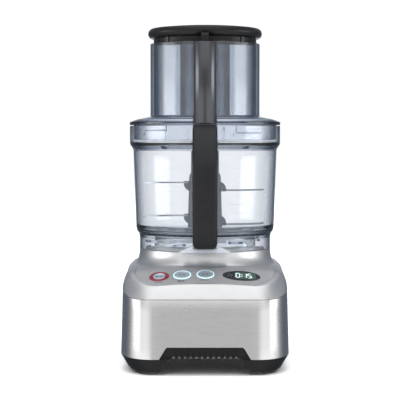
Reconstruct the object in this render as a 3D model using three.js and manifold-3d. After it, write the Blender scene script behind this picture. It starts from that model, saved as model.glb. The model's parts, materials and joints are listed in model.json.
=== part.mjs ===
// Countertop food processor: a die-cast and brushed-steel motor base, a clear bowl with a front
// handle, an S-blade on a driven spindle, a clear lid with a wide feed chute, and a pusher in a pusher.
// Millimetres, +Z up, the front faces -Y, and the origin is the centre of the footprint at floor level.
import * as THREE from 'three';
import { LoftGeometry } from 'three/addons/geometries/LoftGeometry.js';
import { mergeVertices } from 'three/addons/utils/BufferGeometryUtils.js';
import Module from 'manifold-3d';

const wasm = await Module();
wasm.setup();

// ---------------------------------------------------------------- driving dimensions
const AXIS_Y = 16.5; // the bowl and motor axis stands behind the middle of the base
const GAP = 0.3; // between two pieces that touch

const BASE = {
  halfWidth: 106.5, halfDepth: 133.5, cornerX: 42, cornerY: 60, draft: 2,
  skirtBottom: 21, tongueBottom: 90, creaseSide: 101, creaseDrop: 4.5, skirtWall: 2.2, chassisTop: 44,
};
const DECK = {
  halfWidth: 92, frontDepth: 138.4, rearInset: 15, cornerX: 35, cornerY: 48,
  top: 131.5, slope: 0.395, slopeStart: 93, softness: 4, bowRadius: 640,
};
const PANEL = { halfWidth: 87.6, frontDepth: 137, cornerX: 34, cornerY: 44, thickness: 2.5, rearDepth: 48 };
const NECK = { radius: 86.8, top: 146.5, footRadius: 95, platformRadius: 78, platformTop: 152.5 };
const ARCH = { halfTop: 44, halfBottom: 57, top: 23 };
const LEG = { bottom: 3, inset: 12, sideArchTop: 14, sideArchHalf: 58 };
const FOOT = { radius: 12, x: 76, y: 98, top: 4.7 };
const SCREW = { x: 84, y: 76, headRadius: 4, shankRadius: 2, head: 7, tip: 64 };

const MOTOR = {
  half: 47, stackBottom: 52, stackTop: 108, bore: 26.2, rotorRadius: 25.6,
  shaftRadius: 6, shaftBottom: 27.6, shaftShoulder: 216, shaftTop: 226,
};

const BOWL = {
  bottom: 146.9, footRadius: 86.8, footTop: 163, wallBottomRadius: 91.6, wallBottom: 176.5,
  wallTopRadius: 95.2, wallTop: 278, collarRadius: 99.8, collarBottom: 286, top: 309.6,
  wall: 3, floor: 168, floorTop: 171.5, tubeRadius: 14, tubeBore: 11, tubeTop: 212,
};
const LID = {
  rimRadius: 100, rimBottom: 310.5, rimTop: 315, domeTop: 322, skirtRadius: 94.8, skirtBottom: 291.2,
  chuteRadius: 72.5, chuteBore: 69.8, chuteTop: 417.4,
};
const COLUMN = { halfWidth: 15, frontDepth: 108, bottom: 312, top: 414.4 };
const ROD = { depth: 103.6, radius: 2, bore: 2.5, top: 310.3, toeBottom: 158.5, toeTop: 161.5, toeDepth: 79 };
const PLUNGER = { depth: 80.6, radius: 1.8, bottom: 119, top: 158.1 };
const PUSHER = {
  radius: 68.2, bottom: 318.5, wall: 2.6, feedBore: 30.5, feedRadius: 33, smallRadius: 29.9,
  capRadius: 75.3, capRimHeight: 13.2, capBottom: 424.2, skirtBottom: 413.3, capHole: 36,
  feedTop: 427.2, top: 441.2,
};
const HUB = { bottomRadius: 23, topRadius: 18.6, bottom: 174.3, top: 298, bore: 17.6 };
const BLADE = { thickness: 1.6, root: 23.6, reach: 81, sweep: 30 };
const HANDLE = { halfWidth: 15.5, frameHalfWidth: 14.4, top: 310.6, bottom: 153.8 };

const FINE = 32; // segments round a large turned piece
const COARSE = 16; // segments round a small one

// ---------------------------------------------------------------- solids
// A closed three.js geometry as a manifold solid, turned to face out.
function solid(geometry) {
  const bare = geometry.index ? geometry.toNonIndexed() : geometry.clone();
  for (const name of ['normal', 'uv']) bare.deleteAttribute(name);
  const merged = mergeVertices(bare, 1e-4);
  const index = merged.index.array;
  const faces = [];
  for (let i = 0; i < index.length; i += 3) {
    const [a, b, c] = [index[i], index[i + 1], index[i + 2]];
    if (a !== b && b !== c && a !== c) faces.push(a, b, c);
  }
  const build = (triVerts) => new wasm.Manifold(new wasm.Mesh({
    numProp: 3,
    vertProperties: merged.attributes.position.array,
    triVerts: new Uint32Array(triVerts),
  }));
  const made = build(faces);
  return made.volume() < 0 ? build(faces.reverse()) : made;
}

// A manifold solid as a geometry with flat faces.
function geometryOf(made) {
  const mesh = made.getMesh();
  const points = new Float32Array(mesh.numVert * 3);
  for (let i = 0; i < mesh.numVert; i += 1) {
    points.set(mesh.vertProperties.subarray(i * mesh.numProp, i * mesh.numProp + 3), i * 3);
  }
  const geometry = new THREE.BufferGeometry();
  geometry.setAttribute('position', new THREE.BufferAttribute(points, 3));
  geometry.setIndex(new THREE.BufferAttribute(new Uint32Array(mesh.triVerts), 1));
  geometry.computeVertexNormals();
  return geometry;
}

// A solid of revolution round a vertical line at (x, y), from a section of [radius, height] points.
// The section closes on itself unless it starts and ends on the axis.
function turned(section, { x = 0, y = AXIS_Y, segments = FINE } = {}) {
  const points = section.map(([r, z]) => new THREE.Vector2(r, z));
  const open = section[0][0] === 0 && section.at(-1)[0] === 0;
  if (!open) points.push(points[0].clone());
  const geometry = new THREE.LatheGeometry(points, segments);
  geometry.rotateX(Math.PI / 2);
  geometry.translate(x, y, 0);
  return solid(geometry);
}

function cylinder(radius, bottom, top, { x = 0, y = AXIS_Y, segments = COARSE } = {}) {
  return turned([[0, bottom], [radius, bottom], [radius, top], [0, top]], { x, y, segments });
}

function ring(inner, outer, bottom, top, options) {
  return turned([[inner, bottom], [outer, bottom], [outer, top], [inner, top]], options);
}

function box(x0, x1, y0, y1, z0, z1) {
  const geometry = new THREE.BoxGeometry(x1 - x0, y1 - y0, z1 - z0);
  geometry.translate((x0 + x1) / 2, (y0 + y1) / 2, (z0 + z1) / 2);
  return solid(geometry);
}

// A plan shape drawn in x and y, extruded upwards.
function plate(shape, bottom, top, curveSegments = 7) {
  const depth = top - bottom;
  const geometry = new THREE.ExtrudeGeometry(shape, { depth, bevelEnabled: false, curveSegments });
  geometry.translate(0, 0, bottom);
  return solid(geometry);
}

// A shape drawn in x and z, extruded from the plane y0 back to y1.
function frontPlate(shape, y0, y1, curveSegments = 4) {
  const geometry = new THREE.ExtrudeGeometry(shape, { depth: y1 - y0, bevelEnabled: false, curveSegments });
  geometry.rotateX(Math.PI / 2);
  geometry.translate(0, y1, 0);
  return solid(geometry);
}

// A side shape drawn in depth (forwards from the bowl axis) and z, extruded across x.
function sidePlate(shape, halfWidth, curveSegments = 7) {
  const geometry = new THREE.ExtrudeGeometry(shape, {
    depth: 2 * halfWidth, bevelEnabled: false, curveSegments,
  });
  geometry.applyMatrix4(new THREE.Matrix4().set(
    0, 0, 1, -halfWidth,
    -1, 0, 0, AXIS_Y,
    0, 1, 0, 0,
    0, 0, 0, 1,
  ));
  return solid(geometry);
}

function joined(...parts) {
  return parts.reduce((whole, part) => whole.add(part));
}

function without(whole, ...cuts) {
  return cuts.reduce((left, cut) => left.subtract(cut), whole);
}

// A copy turned about the bowl axis, in degrees.
function spun(made, degrees) {
  return made.translate([0, -AXIS_Y, 0]).rotate([0, 0, degrees]).translate([0, AXIS_Y, 0]);
}

function aroundAxis(made, angles) {
  return joined(...angles.map((angle) => spun(made, angle)));
}

// ---------------------------------------------------------------- the base's outer surface
const smooth = (t) => {
  const u = THREE.MathUtils.clamp(t, 0, 1);
  return u * u * (3 - 2 * u);
};

// A rounded outline with elliptical corners, anticlockwise from the front left, as [x, y].
function outline(halfWidth, front, rear, cornerX, cornerY) {
  const arcSteps = 5;
  const edgeSteps = 3;
  const centres = [
    [halfWidth - cornerX, -front + cornerY, -90],
    [halfWidth - cornerX, rear - cornerY, 0],
    [cornerX - halfWidth, rear - cornerY, 90],
    [cornerX - halfWidth, -front + cornerY, 180],
  ];
  const points = [];
  for (const [cx, cy, start] of centres) {
    for (let i = 0; i <= arcSteps; i += 1) {
      const angle = THREE.MathUtils.degToRad(start + (90 * i) / arcSteps);
      points.push([cx + cornerX * Math.cos(angle), cy + cornerY * Math.sin(angle)]);
    }
  }
  const filled = [];
  points.forEach(([x, y], i) => {
    filled.push([x, y]);
    const [nx, ny] = points[(i + 1) % points.length];
    if ((i + 1) % (arcSteps + 1) === 0) {
      for (let k = 1; k < edgeSteps; k += 1) {
        filled.push([x + ((nx - x) * k) / edgeSteps, y + ((ny - y) * k) / edgeSteps]);
      }
    }
  });
  return filled;
}

function baseOutline(inset) {
  return outline(
    BASE.halfWidth - inset, BASE.halfDepth - inset, BASE.halfDepth - inset,
    BASE.cornerX - inset, BASE.cornerY - inset,
  );
}

// The outline of the cover's top, inside the rounded shoulder and never inside the foot of the neck.
function deckOutline(inset) {
  const least = NECK.footRadius + 0.6 - inset;
  const softness = 3;
  return outline(
    DECK.halfWidth - inset, DECK.frontDepth - AXIS_Y - inset, BASE.halfDepth - DECK.rearInset - inset,
    DECK.cornerX - inset, DECK.cornerY - inset,
  ).map(([x, y]) => {
    const reach = Math.hypot(x, y - AXIS_Y);
    const kept = (reach + least + Math.hypot(reach - least, softness)) / 2;
    return [(x * kept) / reach, AXIS_Y + ((y - AXIS_Y) * kept) / reach];
  });
}

// The parting line between skirt and cover dips a little across the front.
function creaseHeight(y) {
  const dipStart = -73.5;
  const front = BASE.draft - BASE.halfDepth;
  return BASE.creaseSide - BASE.creaseDrop * smooth((dipStart - y) / (dipStart - front));
}

// Height of the cover's top: level at the back, sloping down to the front, bowed from side to side there.
function deckHeight(x, y) {
  const depth = AXIS_Y - y;
  const run = depth - DECK.slopeStart;
  const ramp = (run + Math.hypot(run, DECK.softness)) / 2;
  const bow = ((x * x) / (4 * DECK.bowRadius)) * (1 + smooth((depth - 30) / 80));
  return DECK.top - DECK.slope * ramp - bow;
}

// How square the shoulder's section is: nearly a flat chamfer across the front, rounder elsewhere.
function shoulderSquareness(y) {
  return 2.1 - 0.7 * smooth((-60 - y) / 60);
}

const section3 = (points, height) => points.map(([x, y]) => new THREE.Vector3(x, y, height(x, y)));

// The point of a circle round the bowl axis that faces each outline point.
function circleFacing(points, radius) {
  return points.map(([x, y]) => {
    const angle = Math.atan2(y - AXIS_Y, x);
    return [radius * Math.cos(angle), AXIS_Y + radius * Math.sin(angle)];
  });
}

function loft(sections) {
  return solid(new LoftGeometry(sections, { capStart: true, capEnd: true }));
}

// The cover's outer form: the tongue inside the skirt, the parting line, the shoulder, the slope, the neck.
function coverForm() {
  const edge = baseOutline(BASE.draft);
  const inner = deckOutline(0);
  const tongue = baseOutline(BASE.draft + BASE.skirtWall + 0.6);
  const sections = [
    section3(tongue, () => BASE.tongueBottom),
    section3(tongue, (x, y) => creaseHeight(y) + GAP / 2),
    section3(edge, (x, y) => creaseHeight(y) + GAP / 2),
  ];
  for (const share of [0.96, 0.84, 0.55, 0]) {
    sections.push(edge.map(([ex, ey], i) => {
      const [ix, iy] = inner[i];
      const squareness = shoulderSquareness(ey);
      const fall = 1 - (1 - share ** squareness) ** (1 / squareness);
      const low = creaseHeight(ey) + GAP / 2;
      const high = deckHeight(ix, iy);
      return new THREE.Vector3(
        ix + (ex - ix) * share, iy + (ey - iy) * share, high + (low - high) * fall,
      );
    }));
  }
  const foot = circleFacing(inner, NECK.footRadius);
  const between = inner.map(([x, y], i) => [(x + foot[i][0]) / 2, (y + foot[i][1]) / 2]);
  sections.push(section3(between, deckHeight), section3(foot, deckHeight));
  const flare = [[92.5, 131.9], [89.8, 135.4], [87.6, 141], [NECK.radius, NECK.top],
    [NECK.platformRadius + 1.5, NECK.top], [NECK.platformRadius, NECK.platformTop]];
  for (const [radius, height] of flare) sections.push(section3(circleFacing(inner, radius), () => height));
  return loft(sections);
}

// The hollow inside the cover, open below.
function coverHollow() {
  const edge = baseOutline(BASE.draft + BASE.skirtWall + 3);
  const inner = deckOutline(4.5);
  return loft([
    section3(edge, () => BASE.tongueBottom - 10),
    section3(edge, (x, y) => creaseHeight(y)),
    section3(inner, (x, y) => deckHeight(x, y) - 6),
    section3(circleFacing(inner, 86), () => 121),
    section3(circleFacing(inner, 79), () => 134),
    section3(circleFacing(inner, 77), () => 141),
  ]);
}

// ---------------------------------------------------------------- control panel
// A frame on the panel's surface: its origin on the surface and its local z along the outward normal.
function onPanel(x, depth) {
  const y = AXIS_Y - depth;
  const step = 0.5;
  const slopeX = (deckHeight(x + step, y) - deckHeight(x - step, y)) / (2 * step);
  const slopeY = (deckHeight(x, y + step) - deckHeight(x, y - step)) / (2 * step);
  const normal = new THREE.Vector3(-slopeX, -slopeY, 1).normalize();
  const turn = new THREE.Quaternion().setFromUnitVectors(new THREE.Vector3(0, 0, 1), normal);
  const matrix = new THREE.Matrix4().compose(
    new THREE.Vector3(x, y, deckHeight(x, y)), turn, new THREE.Vector3(1, 1, 1),
  );
  return { matrix, normal };
}

function moved(made, matrix) {
  const geometry = geometryOf(made);
  geometry.deleteAttribute('normal');
  geometry.applyMatrix4(matrix);
  return solid(geometry);
}

const BUTTONS = [
  { name: 'power', x: -57.3, depth: 114.5, ring: 12.1, cap: 7.6 },
  { name: 'start', x: -28.6, depth: 113.7, ring: 11.4, cap: 9.2 },
  { name: 'pulse', x: 0.6, depth: 113.4, ring: 11.4, cap: 9.2 },
];
const BUTTON = { top: 1.1, bottom: -6.4, ringTop: 0.7, ringBottom: -4.2 };
const DISPLAY = { x: 45.7, depth: 114.5, halfWidth: 23.4, halfHeight: 12.8 };

function ellipsePlate(rx, ry, bottom, top) {
  const shape = new THREE.Shape().absellipse(0, 0, rx, ry, 0, 2 * Math.PI);
  return plate(shape, bottom, top, 12);
}

const local = { x: 0, y: 0, segments: COARSE };

function panelHoles(clear) {
  const cuts = BUTTONS.map((b) => {
    const hole = cylinder(b.ring + clear, -14, 6, local);
    return moved(hole, onPanel(b.x, b.depth).matrix);
  });
  const { matrix } = onPanel(DISPLAY.x, DISPLAY.depth);
  cuts.push(moved(ellipsePlate(DISPLAY.halfWidth + clear, DISPLAY.halfHeight + clear, -9, 6), matrix));
  return joined(...cuts);
}

// The panel's plan, from the foot of the neck to just short of the shoulder, grown by an amount.
function panelPrism(grow) {
  const { halfWidth, frontDepth, cornerX, cornerY, rearDepth } = PANEL;
  const points = outline(
    halfWidth + grow, frontDepth - AXIS_Y + grow, frontDepth, cornerX + grow, cornerY + grow,
  ).map(([x, y]) => new THREE.Vector2(x, y));
  const rearLimit = AXIS_Y - rearDepth + grow;
  const whole = plate(new THREE.Shape(points), 60, 160);
  return without(
    whole,
    cylinder(NECK.footRadius + 1.4 - 2 * grow, 50, 170, { segments: FINE }),
    box(-150, 150, rearLimit, 200, 50, 170),
  );
}

function controlPanel(form) {
  const skin = form.intersect(panelPrism(0));
  return without(skin, form.translate([0, 0, -PANEL.thickness]), panelHoles(0.4));
}

function baseCover(form) {
  const pocket = without(panelPrism(GAP), form.translate([0, 0, -PANEL.thickness - GAP]));
  const bosses = [-1, 1].flatMap((sx) => [-1, 1].map((sy) => without(
    cylinder(6, 47, 122, { x: sx * SCREW.x, y: sy * SCREW.y, segments: 12 }),
    cylinder(SCREW.shankRadius + 0.4, 40, SCREW.tip + 2, { x: sx * SCREW.x, y: sy * SCREW.y, segments: 8 }),
  )));
  const shell = without(form, coverHollow());
  return without(
    joined(shell, ...bosses),
    pocket, panelHoles(0.4), cylinder(11, 100, 160),
    cylinder(PLUNGER.radius + 0.5, 100, 170, { y: AXIS_Y - PLUNGER.depth, segments: 8 }),
  );
}

function buttonCap(b) {
  const body = turned([[0, BUTTON.bottom], [2.5, BUTTON.bottom], [2.5, -3.5], [b.cap, -3.5], [b.cap, 0.5],
    [b.cap - 0.8, BUTTON.top], [b.cap - 3, BUTTON.top - 0.4], [0, BUTTON.top - 0.7]], local);
  return moved(body, onPanel(b.x, b.depth).matrix);
}

function buttonRing(b) {
  const band = ring(b.cap + 0.35, b.ring, BUTTON.ringBottom, BUTTON.ringTop, local);
  return moved(band, onPanel(b.x, b.depth).matrix);
}

function displayLens() {
  const { matrix } = onPanel(DISPLAY.x, DISPLAY.depth);
  return moved(ellipsePlate(DISPLAY.halfWidth, DISPLAY.halfHeight, -1.6, 0.5), matrix);
}

function displayModule() {
  const { matrix } = onPanel(DISPLAY.x, DISPLAY.depth);
  return moved(box(-17, 17, -8.5, 8.5, -6.8, -2), matrix);
}

function controlBoard() {
  const { matrix } = onPanel(0, 114);
  const board = box(-70, 70, -13, 13, -16.6, -15);
  const switches = BUTTONS.map((b) => {
    const sag = (b.x * b.x) / (2 * DECK.bowRadius);
    return box(b.x - 3, b.x + 3, -3, 3, -15.05, -9.4 - sag);
  });
  return moved(joined(board, ...switches), matrix);
}

// ---------------------------------------------------------------- lower base
// A trapezium standing on its wide side, drawn in x and z, with rounded upper corners.
function archShape(halfTop, halfBottom, bottom, top, corner = 4) {
  const shape = new THREE.Shape();
  const lean = (halfBottom - halfTop) / (top - bottom);
  shape.moveTo(-halfBottom, bottom);
  shape.lineTo(halfBottom, bottom);
  shape.lineTo(halfTop + lean * corner, top - corner);
  shape.quadraticCurveTo(halfTop, top, halfTop - corner, top);
  shape.lineTo(corner - halfTop, top);
  shape.quadraticCurveTo(-halfTop, top, -halfTop - lean * corner, top - corner);
  return shape;
}

const NOTCH = { halfTop: 47.5, halfBottom: 57.5, top: 36.3 };
const GLAND_HEIGHT = 40;

function glandHole(radius) {
  return cylinder(radius, -30, 30, { x: 0, y: 0, segments: 16 }).rotate([90, 0, 0])
    .translate([0, BASE.halfDepth, GLAND_HEIGHT]);
}

function baseSkirt() {
  const top = (x, y) => creaseHeight(y) - GAP / 2;
  const outer = loft([
    section3(baseOutline(0), () => BASE.skirtBottom),
    section3(baseOutline(BASE.draft), top),
    section3(baseOutline(BASE.draft + BASE.skirtWall), top),
  ]);
  const inner = loft([
    section3(baseOutline(BASE.skirtWall), () => BASE.skirtBottom - 1),
    section3(baseOutline(BASE.draft + BASE.skirtWall), () => BASE.tongueBottom),
    section3(baseOutline(BASE.draft + BASE.skirtWall), () => BASE.creaseSide + 10),
  ]);
  const notch = archShape(NOTCH.halfTop, NOTCH.halfBottom, BASE.skirtBottom - 0.1, NOTCH.top);
  return without(outer, inner, frontPlate(notch, -150, -110), glandHole(9));
}

function frontGrille() {
  const front = -BASE.halfDepth + 0.6;
  const back = front + 1.8;
  const plateShape = archShape(NOTCH.halfTop - 0.6, NOTCH.halfTop + 4, 25.5, NOTCH.top - 0.6, 3.5);
  const count = 12;
  const pitch = 7;
  const teeth = [];
  for (let i = 0; i < count; i += 1) {
    const x = (i - (count - 1) / 2) * pitch;
    teeth.push(box(x - 1.6, x + 1.6, front - 0.5, back, 23.4, 34));
  }
  return joined(frontPlate(plateShape, front, back), ...teeth);
}

function chassis() {
  const outer = loft([
    section3(baseOutline(LEG.inset), () => LEG.bottom),
    section3(baseOutline(LEG.inset - 3), () => LEG.bottom + 3),
    section3(baseOutline(0.4), () => BASE.skirtBottom - GAP),
    section3(baseOutline(BASE.skirtWall + 0.5), () => BASE.skirtBottom - GAP + 0.05),
    section3(baseOutline(BASE.skirtWall + 1.2), () => BASE.chassisTop),
  ]);
  const inner = loft([
    section3(baseOutline(6), () => ARCH.top + 3),
    section3(baseOutline(6), () => BASE.chassisTop + 5),
  ]);
  const tunnel = frontPlate(archShape(ARCH.halfTop, ARCH.halfBottom, LEG.bottom - 1, ARCH.top), -150, 150);
  const sideArch = frontPlate(
    archShape(LEG.sideArchHalf - 8, LEG.sideArchHalf, LEG.bottom - 1, LEG.sideArchTop), -150, 150,
  ).rotate([0, 0, 90]);
  const cuts = [tunnel, sideArch, glandHole(12.4)];
  for (const sx of [-1, 1]) {
    for (const sy of [-1, 1]) {
      const at = { x: sx * SCREW.x, y: sy * SCREW.y, segments: 10 };
      cuts.push(cylinder(FOOT.radius + GAP, 0, FOOT.top + GAP, { x: sx * FOOT.x, y: sy * FOOT.y }));
      cuts.push(cylinder(SCREW.headRadius + 0.4, 0, SCREW.head + 3.2, at));
      cuts.push(cylinder(SCREW.shankRadius + 0.4, 0, 30, at));
    }
  }
  const slotCount = 5;
  for (let i = 0; i < slotCount; i += 1) {
    const x = (i - (slotCount - 1) / 2) * 12;
    cuts.push(box(x - 3, x + 3, AXIS_Y - 28, AXIS_Y + 28, ARCH.top - 2, ARCH.top + 6));
  }
  return without(outer, inner, ...cuts);
}

function foot(sx, sy) {
  return turned([[0, 0], [FOOT.radius - 1.2, 0], [FOOT.radius, 1.2], [FOOT.radius, FOOT.top], [0, FOOT.top]],
    { x: sx * FOOT.x, y: sy * FOOT.y, segments: 20 });
}

function chassisScrew(sx, sy) {
  const { head, tip, headRadius, shankRadius } = SCREW;
  return turned([[0, head], [headRadius, head], [headRadius, head + 2.8], [shankRadius, head + 2.8],
    [shankRadius, tip - 3], [0, tip]], { x: sx * SCREW.x, y: sy * SCREW.y, segments: 8 });
}

function cordGland() {
  const rear = BASE.halfDepth;
  const section = [[3.8, -8], [12, -8], [12, -3.4], [8.6, -3.4], [8.6, -0.2], [3.8, -0.2]];
  return turned(section, { x: 0, y: 0, segments: 16 }).rotate([-90, 0, 0]).translate([0, rear, GLAND_HEIGHT]);
}

// ---------------------------------------------------------------- motor
function motorStator() {
  const { half } = MOTOR;
  const cut = 14;
  const shape = new THREE.Shape([
    [-half + cut, -half], [half - cut, -half], [half, -half + cut], [half, half - cut],
    [half - cut, half], [-half + cut, half], [-half, half - cut], [-half, -half + cut],
  ].map(([x, y]) => new THREE.Vector2(x, y + AXIS_Y)));
  return without(
    plate(shape, MOTOR.stackBottom, MOTOR.stackTop),
    cylinder(MOTOR.bore, 40, 120, { segments: 32 }),
  );
}

function winding(bottom, top) {
  const bulge = (top - bottom) / 3;
  return turned([[30, bottom], [39, bottom], [42, bottom + bulge], [42, top - bulge], [39, top], [30, top]],
    { segments: 24 });
}

// A bearing bracket: a round plate with a bearing seat and four posts that reach the stack.
function motorBracket(bottom, top, postEnd) {
  const posts = [];
  for (const sx of [-1, 1]) {
    for (const sy of [-1, 1]) {
      const at = { x: sx * 36, y: AXIS_Y + sy * 36, segments: 8 };
      posts.push(cylinder(4, Math.min(bottom + 1, postEnd), Math.max(top - 1, postEnd), at));
    }
  }
  const disc = cylinder(56, bottom, top, { segments: 24 });
  const vent = box(22, 36, AXIS_Y - 8, AXIS_Y + 8, bottom - 5, top + 5);
  const vents = [0, 90, 180, 270].map((angle) => spun(vent, angle));
  return without(joined(disc, ...posts), cylinder(14.4, 0, 300), ...vents);
}

function bearing(bottom, top) {
  return ring(MOTOR.shaftRadius + 0.5, 14, bottom, top, { segments: COARSE });
}

function motorRotor() {
  const { shaftRadius, rotorRadius, stackBottom, stackTop } = MOTOR;
  return ring(shaftRadius + GAP, rotorRadius, stackBottom - 2, stackTop + 2, { segments: 32 });
}

function driveShaft() {
  const { shaftRadius, shaftBottom, shaftShoulder, shaftTop } = MOTOR;
  const bar = cylinder(shaftRadius, shaftBottom, shaftShoulder, { segments: 12 });
  const hex = cylinder(shaftRadius, shaftShoulder - 1, shaftTop, { segments: 6 });
  return joined(bar, hex);
}

function coolingFan() {
  const hub = ring(MOTOR.shaftRadius + GAP, 11, 28.2, 33, { segments: 12 });
  const disc = ring(10, 36, 32, 33, { segments: 24 });
  const blades = [];
  const vane = box(9, 35, AXIS_Y - 0.9, AXIS_Y + 0.9, 28.2, 32.5);
  for (let i = 0; i < 6; i += 1) blades.push(spun(vane, i * 60));
  return joined(hub, disc, ...blades);
}

// ---------------------------------------------------------------- bowl
function bowl() {
  const b = BOWL;
  const t = b.wall;
  const wall = turned([
    [b.footRadius - t, b.bottom], [b.footRadius, b.bottom], [b.footRadius, b.footTop],
    [b.footRadius + 1.2, b.footTop + 5], [b.wallBottomRadius - 1, b.wallBottom - 5],
    [b.wallBottomRadius, b.wallBottom], [b.wallTopRadius, b.wallTop], [b.wallTopRadius + 0.8, b.wallTop + 2],
    [b.collarRadius - 0.6, b.collarBottom - 1], [b.collarRadius, b.collarBottom + 1],
    [b.collarRadius, b.top], [b.collarRadius - 2.8, b.top], [b.collarRadius - 2.8, 287.2],
    [b.wallTopRadius - t, 285.6], [b.wallTopRadius - t, b.wallTop], [b.wallBottomRadius - t, 180],
    [b.wallBottomRadius - t - 2, 174], [b.wallBottomRadius - t - 6, b.floorTop],
    [b.tubeRadius, b.floorTop + 1.5], [b.tubeRadius - 0.6, b.tubeTop], [b.tubeBore, b.tubeTop],
    [b.tubeBore, b.floor], [b.footRadius - t, b.floor],
  ]);
  const lockRing = ring(64, 67, 153.6, b.floor + 0.5);
  const lockTab = box(66, b.footRadius - t + 1, AXIS_Y - 7, AXIS_Y + 7, 158, 161);
  const stop = box(95.6, b.collarRadius - 2, AXIS_Y - 0.9, AXIS_Y + 0.9, 288.5, 306);
  const toeSlot = box(-ROD.bore, ROD.bore, AXIS_Y - 95, AXIS_Y - 75, 154.6, 162.4);
  return without(
    joined(wall, lockRing, aroundAxis(lockTab, [30, 120, 210, 300]), aroundAxis(stop, [14, 104, 194, 284])),
    toeSlot,
  );
}

function bowlBush() {
  return turned([[7.2, 198], [BOWL.tubeBore - GAP, 198], [BOWL.tubeBore - GAP, BOWL.tubeTop + GAP],
    [13.4, BOWL.tubeTop + GAP], [13.4, BOWL.tubeTop + 2.2], [7.2, BOWL.tubeTop + 2.2]], { segments: COARSE });
}

// The whole handle seen from the side, and its core inside the soft outer layer.
function handleOutline(outer) {
  const shape = new THREE.Shape();
  const skin = outer ? 0 : 8;
  const top = HANDLE.top - skin;
  const far = 149.6 - skin;
  shape.moveTo(100.6, outer ? top : HANDLE.top);
  if (!outer) {
    shape.lineTo(110, HANDLE.top);
    shape.lineTo(110, top);
  }
  shape.lineTo(114, top);
  shape.bezierCurveTo(130, top - 1, far - 2, top - 20, far, 262);
  shape.bezierCurveTo(far, 226, far - 7, 184, 126 - skin / 2, 162 + skin / 2);
  shape.bezierCurveTo(123 - skin / 2, 157 + skin / 2, 119, HANDLE.bottom + skin, 114, HANDLE.bottom + skin);
  if (!outer) {
    shape.lineTo(108, HANDLE.bottom + skin);
    shape.lineTo(108, HANDLE.bottom);
  }
  shape.lineTo(88, HANDLE.bottom);
  shape.lineTo(88, 163.5);
  shape.lineTo(93.2, 178);
  shape.lineTo(96.6, 277.5);
  shape.lineTo(100.6, 285.4);
  return shape;
}

function fingerHole() {
  const shape = new THREE.Shape();
  const near = ROD.depth + ROD.bore + 2;
  shape.moveTo(near, 272);
  shape.quadraticCurveTo(near, 279, 113, 279);
  shape.lineTo(120, 279);
  shape.bezierCurveTo(128, 279, 132, 273, 132, 263);
  shape.bezierCurveTo(132, 228, 127, 198, 120, 186);
  shape.bezierCurveTo(116, 179, near, 179, near, 188);
  return shape;
}

function handleGrip() {
  const whole = sidePlate(handleOutline(true), HANDLE.halfWidth);
  const core = sidePlate(handleOutline(false), HANDLE.halfWidth + 2);
  const front = box(-30, 30, AXIS_Y - 160, AXIS_Y - 108 - GAP, 140, 320);
  return without(whole.intersect(front), core, core.translate([0, -GAP, 0]), core.translate([0, 0, GAP]),
    core.translate([0, 0, -GAP]), sidePlate(fingerHole(), 30));
}

function handleFrame() {
  const bore = cylinder(ROD.bore, 154.8, 330, { y: AXIS_Y - ROD.depth, segments: 12 });
  const toeSlot = box(-ROD.bore, ROD.bore, AXIS_Y - ROD.depth, AXIS_Y - 75, 154.8, 162.2);
  return without(
    sidePlate(handleOutline(false), HANDLE.frameHalfWidth), sidePlate(fingerHole(), 30), bore, toeSlot,
  );
}

function handleFoot() {
  const shape = new THREE.Shape();
  const top = HANDLE.bottom - GAP;
  const bottom = BOWL.bottom + 0.3;
  shape.moveTo(-33, bottom);
  shape.lineTo(33, bottom);
  shape.quadraticCurveTo(24, bottom + 3.5, 15.5, top);
  shape.lineTo(-15.5, top);
  shape.quadraticCurveTo(-24, bottom + 3.5, -33, bottom);
  const wedge = frontPlate(shape, AXIS_Y - 106, AXIS_Y - 70);
  return wedge.intersect(ring(BOWL.footRadius + GAP, 104, 140, 160));
}

function rod(bottom, top) {
  return cylinder(ROD.radius, bottom, top, { y: AXIS_Y - ROD.depth, segments: 8 });
}

// The handle's rod with a toe at its foot, which reaches in over the plunger of the base.
function handleRod() {
  const toe = box(-1.8, 1.8, AXIS_Y - ROD.depth, AXIS_Y - ROD.toeDepth, ROD.toeBottom, ROD.toeTop);
  return joined(rod(ROD.toeBottom, ROD.top), toe);
}

// ---------------------------------------------------------------- blade
function spindle() {
  const body = cylinder(17.2, 173.8, 230.5);
  const hollow = cylinder(15, 160, 216.6);
  const socket = cylinder(MOTOR.shaftRadius + 0.45, 210, 227, { segments: 6 });
  return without(body, hollow, socket);
}

const BLADES = [
  { name: 'blade_upper_right', z: 224.6, turn: 0 },
  { name: 'blade_upper_left', z: 235, turn: 180 },
  { name: 'blade_lower_right', z: 179, turn: 0 },
  { name: 'blade_lower_left', z: 190.8, turn: 180 },
];

function bladeShape(root, grow = 0) {
  const shape = new THREE.Shape();
  const half = 9.5 + grow;
  shape.moveTo(root, AXIS_Y - half);
  shape.bezierCurveTo(48, AXIS_Y - half - 4, 79, AXIS_Y - 18, BLADE.reach + grow, AXIS_Y + BLADE.sweep);
  shape.bezierCurveTo(66, AXIS_Y + 12, 46, AXIS_Y + half, root, AXIS_Y + half);
  return shape;
}

function blade(b) {
  return spun(plate(bladeShape(BLADE.root), b.z - BLADE.thickness / 2, b.z + BLADE.thickness / 2), b.turn);
}

// A blade's root boss on the hub: flat on the blade's side and curved on the other.
function bladeBoss(b) {
  const left = b.turn === 180;
  const flat = left ? b.z + 1.6 : b.z - 1.6;
  const far = left ? b.z - 11 : b.z + 11;
  const shape = new THREE.Shape();
  shape.moveTo(10, flat);
  shape.lineTo(28, flat);
  shape.lineTo(28, flat + (far - flat) * 0.35);
  shape.quadraticCurveTo(25.5, flat + (far - flat) * 0.8, 21, far);
  shape.lineTo(10, far);
  return spun(frontPlate(shape, AXIS_Y - 9, AXIS_Y + 9, 5), b.turn);
}

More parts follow.
